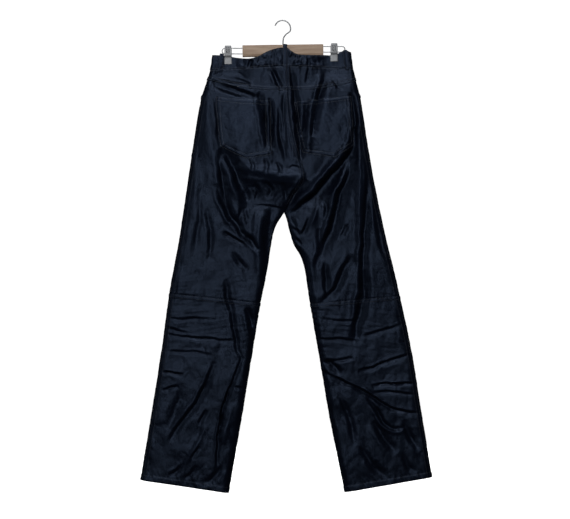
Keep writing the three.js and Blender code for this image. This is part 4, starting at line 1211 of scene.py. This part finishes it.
side, share = share_at(FRONT, BUTTON["x"])
face_y = lay(FRONT, side, np.array([share]), np.array([-BAND_HEIGHT / 2]))[0][0, 1]
profile = [(7.6, 0), (8.3, 0.4), (8.5, 1.2), (8.3, 2.3), (7.6, 3.0), (6.7, 2.9)]
profile += [(6.2, 2.2), (5.8, 2.0), (2.6, 2.2), (2.2, 2.7), (0, 2.9)]
button_at = (BUTTON["x"], face_y + 0.6, BUTTON["z"])
finish_piece(turned("waist_button_metal", profile, button_at, (0, 1, 0), PLATE),
             "waist_button", "steel", "waist_button")

# The clip hanger

BAR_SIDES = 48
BAR_END_ROUND = 4
BAR = {"width": 202, "height": 30, "thickness": 12, "x": 1, "z": -74, "tilt": 0.014}
WIRE_DIAMETER = 2.6
HOOK_DIAMETER = 3.4
HOOK_RADIUS = 20
JAW_PLATE = 1.5
JAW_SHORTER = 5
# Each part of a jaw plate: its left and right edge as shares of the half width, its low and high level
JAW_PARTS = [
    (-1, 1, 0, 0.55), (-1, -0.36, 0.53, 0.9), (-0.25, 0.25, 0.53, 0.9), (0.36, 1, 0.53, 0.9),
    (-1, 1, 0.86, 1),
]


def hanger_bar():
    """A bar with rounded long edges and slightly rounded ends, turned up a little to the right."""
    angle = np.linspace(0, 2 * math.pi, BAR_SIDES, endpoint=False)
    half = BAR["thickness"] / 2
    stretch = BAR["height"] / 2 - half
    section_y = half * np.sign(np.cos(angle)) * np.abs(np.cos(angle)) ** 0.8
    section_z = half * np.sin(angle) + stretch * np.sign(np.sin(angle)) * np.abs(np.sin(angle)) ** 0.25
    ends = [(-1, 0.8), (-0.997, 0.9), (-0.99, 0.97), (-0.975, 1)]
    middle = [(place_at, 1) for place_at in np.linspace(-0.9, 0.9, 12)]
    stations = ends + middle + [(-place_at, size) for place_at, size in ends[::-1]]
    points = []
    for place_at, size in stations:
        x = place_at * BAR["width"] / 2
        section = section_z - np.sign(section_z) * (1 - size) * BAR_END_ROUND
        points.append(np.stack([np.full(BAR_SIDES, x), section_y * size, section], axis=-1))
    points = np.concatenate(points)
    turn = BAR["tilt"]
    turned_x = points[:, 0] * math.cos(turn) - points[:, 2] * math.sin(turn)
    turned_z = points[:, 0] * math.sin(turn) + points[:, 2] * math.cos(turn)
    points = np.stack([turned_x + BAR["x"], points[:, 1], turned_z + BAR["z"]], axis=-1)
    faces = [face[::-1] for face in ring_faces(len(stations), BAR_SIDES)]
    return new_object("hanger_bar_wood", points, faces, WOOD)


finish_piece(hanger_bar(), "hanger_bar", "wood", "hanger_bar")

angles = [math.radians(degrees) for degrees in (160, 130, 100, 70, 40, 10, -20)]
centre_z = HOOK_DIAMETER / 2 - HOOK_RADIUS
hook = [(HOOK_RADIUS * math.cos(angle), 0, centre_z + HOOK_RADIUS * math.sin(angle)) for angle in angles]
hook += [(9, 0, -33), (2.5, 0, -43), (BAR["x"], 0, BAR["z"] + BAR["height"] / 2 + SEAM_GAP)]
hook_wire = tube("hanger_hook_wire", smooth_path(hook, 10), HOOK_DIAMETER / 2, WIRE, 18)
finish_piece(hook_wire, "hanger_hook", "steel", "hanger_hook")

for clip in CLIPS:
    radius = (clip.wire_top - clip.wire_bottom) / 2
    middle = (clip.wire_top + clip.wire_bottom) / 2
    start = BAR["x"] + clip.side * (BAR["width"] / 2 + SEAM_GAP + 0.15)
    turn = clip.end - clip.side * radius
    bend = [(turn + clip.side * radius * math.sin(angle), 0, middle + radius * math.cos(angle))
            for angle in np.linspace(0, math.pi, 15)]
    path = [(start, 0, clip.wire_top), (mix(start, turn, 0.5), 0, clip.wire_top)] + bend
    path += [(mix(start, turn, 0.5), 0, clip.wire_bottom), (start, 0, clip.wire_bottom)]
    key = f"wire_loop_{clip.name}"
    finish_piece(tube(f"{key}_wire", path, WIRE_DIAMETER / 2, WIRE, 16), key, "steel", key)

    coil_radius = radius - WIRE_DIAMETER / 2 - SEAM_GAP - 0.7
    turns = np.linspace(0, 8 * 2 * math.pi, 8 * 18)
    coil = np.stack([
        clip.x + np.linspace(-CLIP_WIDTH / 2 + 2, CLIP_WIDTH / 2 - 2, len(turns)),
        coil_radius * np.cos(turns), middle + coil_radius * np.sin(turns)], axis=-1)
    key = f"clip_spring_{clip.name}"
    finish_piece(tube(f"{key}_coil", coil, 0.7, WIRE, 8), key, "steel", key)

    nip = CLIP_NIP + SEAM_GAP * 1.5
    stand = radius - WIRE_DIAMETER / 2
    for word, face in (("back", BACK), ("front", FRONT)):
        grids = []
        for left, right, low, high in JAW_PARTS:
            levels = np.linspace(low, high, 24)
            heights = mix(clip.bottom, clip.top - JAW_SHORTER, levels)
            u = np.linspace(left, right, 13)
            taper = 1 - 0.12 * smooth((levels - 0.75) / 0.25)
            corner = 1 - 0.16 * (1 - np.sqrt(np.clip(1 - np.clip((levels - 0.93) / 0.07, 0, 1) ** 2, 0, 1)))
            x = clip.x + u[None, :] * (CLIP_WIDTH / 2 * taper * corner)[:, None]
            profile_y = mix(nip, stand, smooth((heights - clip.bottom - 15) / 8))
            inner_y = np.broadcast_to(face * profile_y[:, None], x.shape)
            z = np.broadcast_to(heights[:, None], x.shape)
            across = np.linspace(-1, 1, 13)
            edge = 0.35 * np.clip((np.abs(across) - 0.7) / 0.3, 0, 1)[None, :] ** 2
            grooves = 0.22 * (0.5 + 0.5 * np.cos(levels * math.pi * 46)) * smooth((0.34 - levels) / 0.04)
            outside = np.stack([x, inner_y + face * (JAW_PLATE - edge - grooves[:, None]), z], axis=-1)
            grids.append((outside, np.stack([x, inner_y, z], axis=-1)))
        key = f"clip_jaw_{word}_{clip.name}"
        finish_piece(walls(f"{key}_plate", grids, PLATE), key, "steel", key)

# Sheets of leather: the flat size each is cut to

# The sizes come from the pattern, not from a mesh: the finished outline in the hanging garment's plane, with
# the share of leather that folds take up across and down it, and what turns round a side edge, as a share of
# the garment's half depth there.
FOLD_EASE = 1.04
FALL_EASE = 1.01
EDGE_TURN = 0.5


def flat_cut(x, z, turned):
    """Width, length and area in metres of the flat leather under a grid of places, its rows running down."""
    lean = math.atan2(x[-1].mean() - x[0].mean(), z[0].mean() - z[-1].mean())
    across = x * math.cos(lean) + z * math.sin(lean)
    along = x * math.sin(lean) - z * math.cos(lean)
    right = np.stack([np.diff(x, axis=1)[:-1], np.diff(z, axis=1)[:-1]])
    down = np.stack([np.diff(x, axis=0)[:, :-1], np.diff(z, axis=0)[:, :-1]])
    outline = np.abs(right[0] * down[1] - right[1] * down[0]).sum()
    width, length = np.ptp(across) * FOLD_EASE + turned, np.ptp(along) * FALL_EASE
    area = outline * FOLD_EASE * FALL_EASE + turned * np.hypot(*down).sum(axis=0).mean() * FALL_EASE
    return float(width * MM), float(length * MM), float(min(area, width * length) * MM * MM)


def leg_cut(face, side, shares, first, last):
    """The cut of a piece of the leg between two lines of drops."""
    drop = fanned(first, last, 60)
    edges = 1 + (drop > CROTCH_DROP)
    turned = (EDGE_TURN * edges * curve(HALF_DEPTHS, "drop", "depth", drop)).mean()
    return flat_cut(*place(face, side, np.broadcast_to(shares, drop.shape), drop)[:2], turned)


def band_cut(face, sides):
    """The waistband is cut as an even strip."""
    runs = []
    for side in sides:
        x, z, _ = place(face, side, np.array([0.0, 1.0]), np.zeros(2))
        runs.append(math.hypot(x[1] - x[0], z[1] - z[0]))
    return sum(runs) * FOLD_EASE * MM, BAND_HEIGHT * MM, None


def loop_cut(loop):
    """A belt loop is a strip, as long as the band is high there and its ends reach past it."""
    side, share = share_at(loop.face, loop.x)
    rows = lay(loop.face, side, np.full(2, share), np.array([0.0, -BAND_HEIGHT]))[0]
    length = rows[1, 2] - rows[0, 2] + loop.below + loop.above
    return LOOP_WIDTH * MM, float(length * MM), None


across = np.linspace(0, 1, 101)
waist, knee, hem = (full(across, drop) for drop in (0, KNEE_DROP, HEM_DROP))
u, v = np.meshgrid(across, across)
cuts = {"waistband_back": band_cut(BACK, (LEFT, RIGHT))}
for word, side in SIDES:
    seam = yoke_drop(side, across)
    mouth = across * MOUTH_SHARE
    cuts[f"waistband_front_{word}"] = band_cut(FRONT, (side,))
    cuts[f"yoke_{word}"] = leg_cut(BACK, side, across, waist, seam)
    cuts[f"back_panel_{word}"] = leg_cut(BACK, side, across, seam, knee)
    cuts[f"back_lower_leg_{word}"] = leg_cut(BACK, side, across, knee, hem)
    cuts[f"front_panel_{word}"] = leg_cut(FRONT, side, across, mouth_drop(across), knee)
    cuts[f"front_lower_leg_{word}"] = leg_cut(FRONT, side, across, knee, hem)
    cuts[f"pocket_facing_{word}"] = leg_cut(FRONT, side, mouth, waist, mouth_drop(mouth))
    cuts[f"back_pocket_{word}"] = flat_cut(*place(BACK, side, *pocket_place(side, u, v))[:2], 0)
rounded_corner = (1 - math.pi / 4) * FLY_WIDTH ** 2
cuts["fly_flap"] = (FLY_WIDTH * MM, FLY_DROP * MM, (FLY_WIDTH * FLY_DROP - rounded_corner) * MM * MM)
for loop in BELT_LOOPS:
    cuts[loop.name] = loop_cut(loop)

for loop in BELT_LOOPS:
    word = "back" if loop.face == BACK else ("front_left" if loop.x < 0 else "front_right")

# Stage, light and camera

CAMERA_DISTANCE = 4.0
SENSOR_WIDTH = 36
VIEW_WIDTH = 1.425
VIEW_CENTRE = {"x": 0.00625, "z": -0.596}


def flat_material(name, colour, emission=0.0):
    material, nodes, links, shader = node_material(name)
    shader.inputs["Base Color"].default_value = (*colour, 1)
    shader.inputs["Roughness"].default_value = 0.9
    if emission:
        shader.inputs["Emission Color"].default_value = (1, 1, 1, 1)
        shader.inputs["Emission Strength"].default_value = emission
    return material


def stage_piece(name, corners, faces, material):
    mesh = bpy.data.meshes.new(name)
    mesh.from_pydata(corners, [], faces)
    mesh.materials.append(material)
    obj = bpy.data.objects.new(name, mesh)
    bpy.context.scene.collection.objects.link(obj)
    return obj


FLOOR_LEVEL = -1.62
STAGE_RADIUS = 8.0
STAGE_TOP = 9.0
STAGE_SIDES = 96
quarters = ((-1, -1), (1, -1), (1, 1), (-1, 1))
floor_corners = [(x * STAGE_RADIUS, y * STAGE_RADIUS, FLOOR_LEVEL) for x, y in quarters]
floor_white = flat_material("floor_white", (0.85, 0.85, 0.85), 1.0)
floor = stage_piece("floor", floor_corners, [(0, 1, 2, 3)], floor_white)
floor.visible_diffuse = False
floor.visible_glossy = False

world = bpy.data.worlds.new("studio")
bpy.context.scene.world = world
world.use_nodes = True
background = world.node_tree.nodes["Background"]
background.inputs["Color"].default_value = (1, 1, 1, 1)
background.inputs["Strength"].default_value = 0.02

turn = np.linspace(0, 2 * math.pi, STAGE_SIDES, endpoint=False)
rim = [(STAGE_RADIUS * math.cos(angle), STAGE_RADIUS * math.sin(angle)) for angle in turn]
wall = [(x, y, level) for level in (FLOOR_LEVEL, STAGE_TOP) for x, y in rim]
wall_faces = []
for i in range(STAGE_SIDES):
    j = (i + 1) % STAGE_SIDES
    wall_faces.append((i, j, STAGE_SIDES + j, STAGE_SIDES + i))
backdrop = stage_piece("backdrop", wall, wall_faces, flat_material("backdrop_white", (0.9, 0.9, 0.9), 1.0))
backdrop.visible_diffuse = False
backdrop.visible_glossy = False


def area_light(name, place_at, aim, size, power, colour):
    light = bpy.data.lights.new(name, "AREA")
    light.shape = "RECTANGLE"
    light.size, light.size_y = size
    light.energy = power
    light.color = colour
    obj = bpy.data.objects.new(name, light)
    obj.location = place_at
    direction = np.array(aim, float) - np.array(place_at, float)
    obj.rotation_euler = Vector(direction).to_track_quat("-Z", "Y").to_euler()
    bpy.context.scene.collection.objects.link(obj)
    return obj


area_light("front", (-0.5, -4.6, 0.05), (0, 0, -0.6), (1.8, 2.9), 52, (0.97, 0.99, 1.0))
area_light("top", (0.1, -2.2, 1.7), (0, 0, -0.5), (2.4, 0.9), 38, (1, 1, 1))
area_light("side", (-2.4, -1.6, -0.1), (0, 0, -0.6), (0.6, 1.8), 5, (0.93, 0.97, 1.0))
area_light("behind", (0.5, 4.6, 0.05), (0, 0, -0.6), (1.8, 2.9), 56, (0.97, 0.99, 1.0))
area_light("top_behind", (-0.1, 2.2, 1.7), (0, 0, -0.5), (2.4, 0.9), 24, (1, 1, 1))

camera_data = bpy.data.cameras.new("camera")
camera_data.sensor_fit = "HORIZONTAL"
camera_data.sensor_width = SENSOR_WIDTH
camera_data.lens = SENSOR_WIDTH * CAMERA_DISTANCE / VIEW_WIDTH
camera = bpy.data.objects.new("camera", camera_data)
camera.location = (VIEW_CENTRE["x"], -CAMERA_DISTANCE, VIEW_CENTRE["z"])
camera.rotation_euler = (math.pi / 2, 0, 0)
bpy.context.scene.collection.objects.link(camera)
bpy.context.scene.camera = camera
bpy.context.scene.view_settings.view_transform = "Standard"
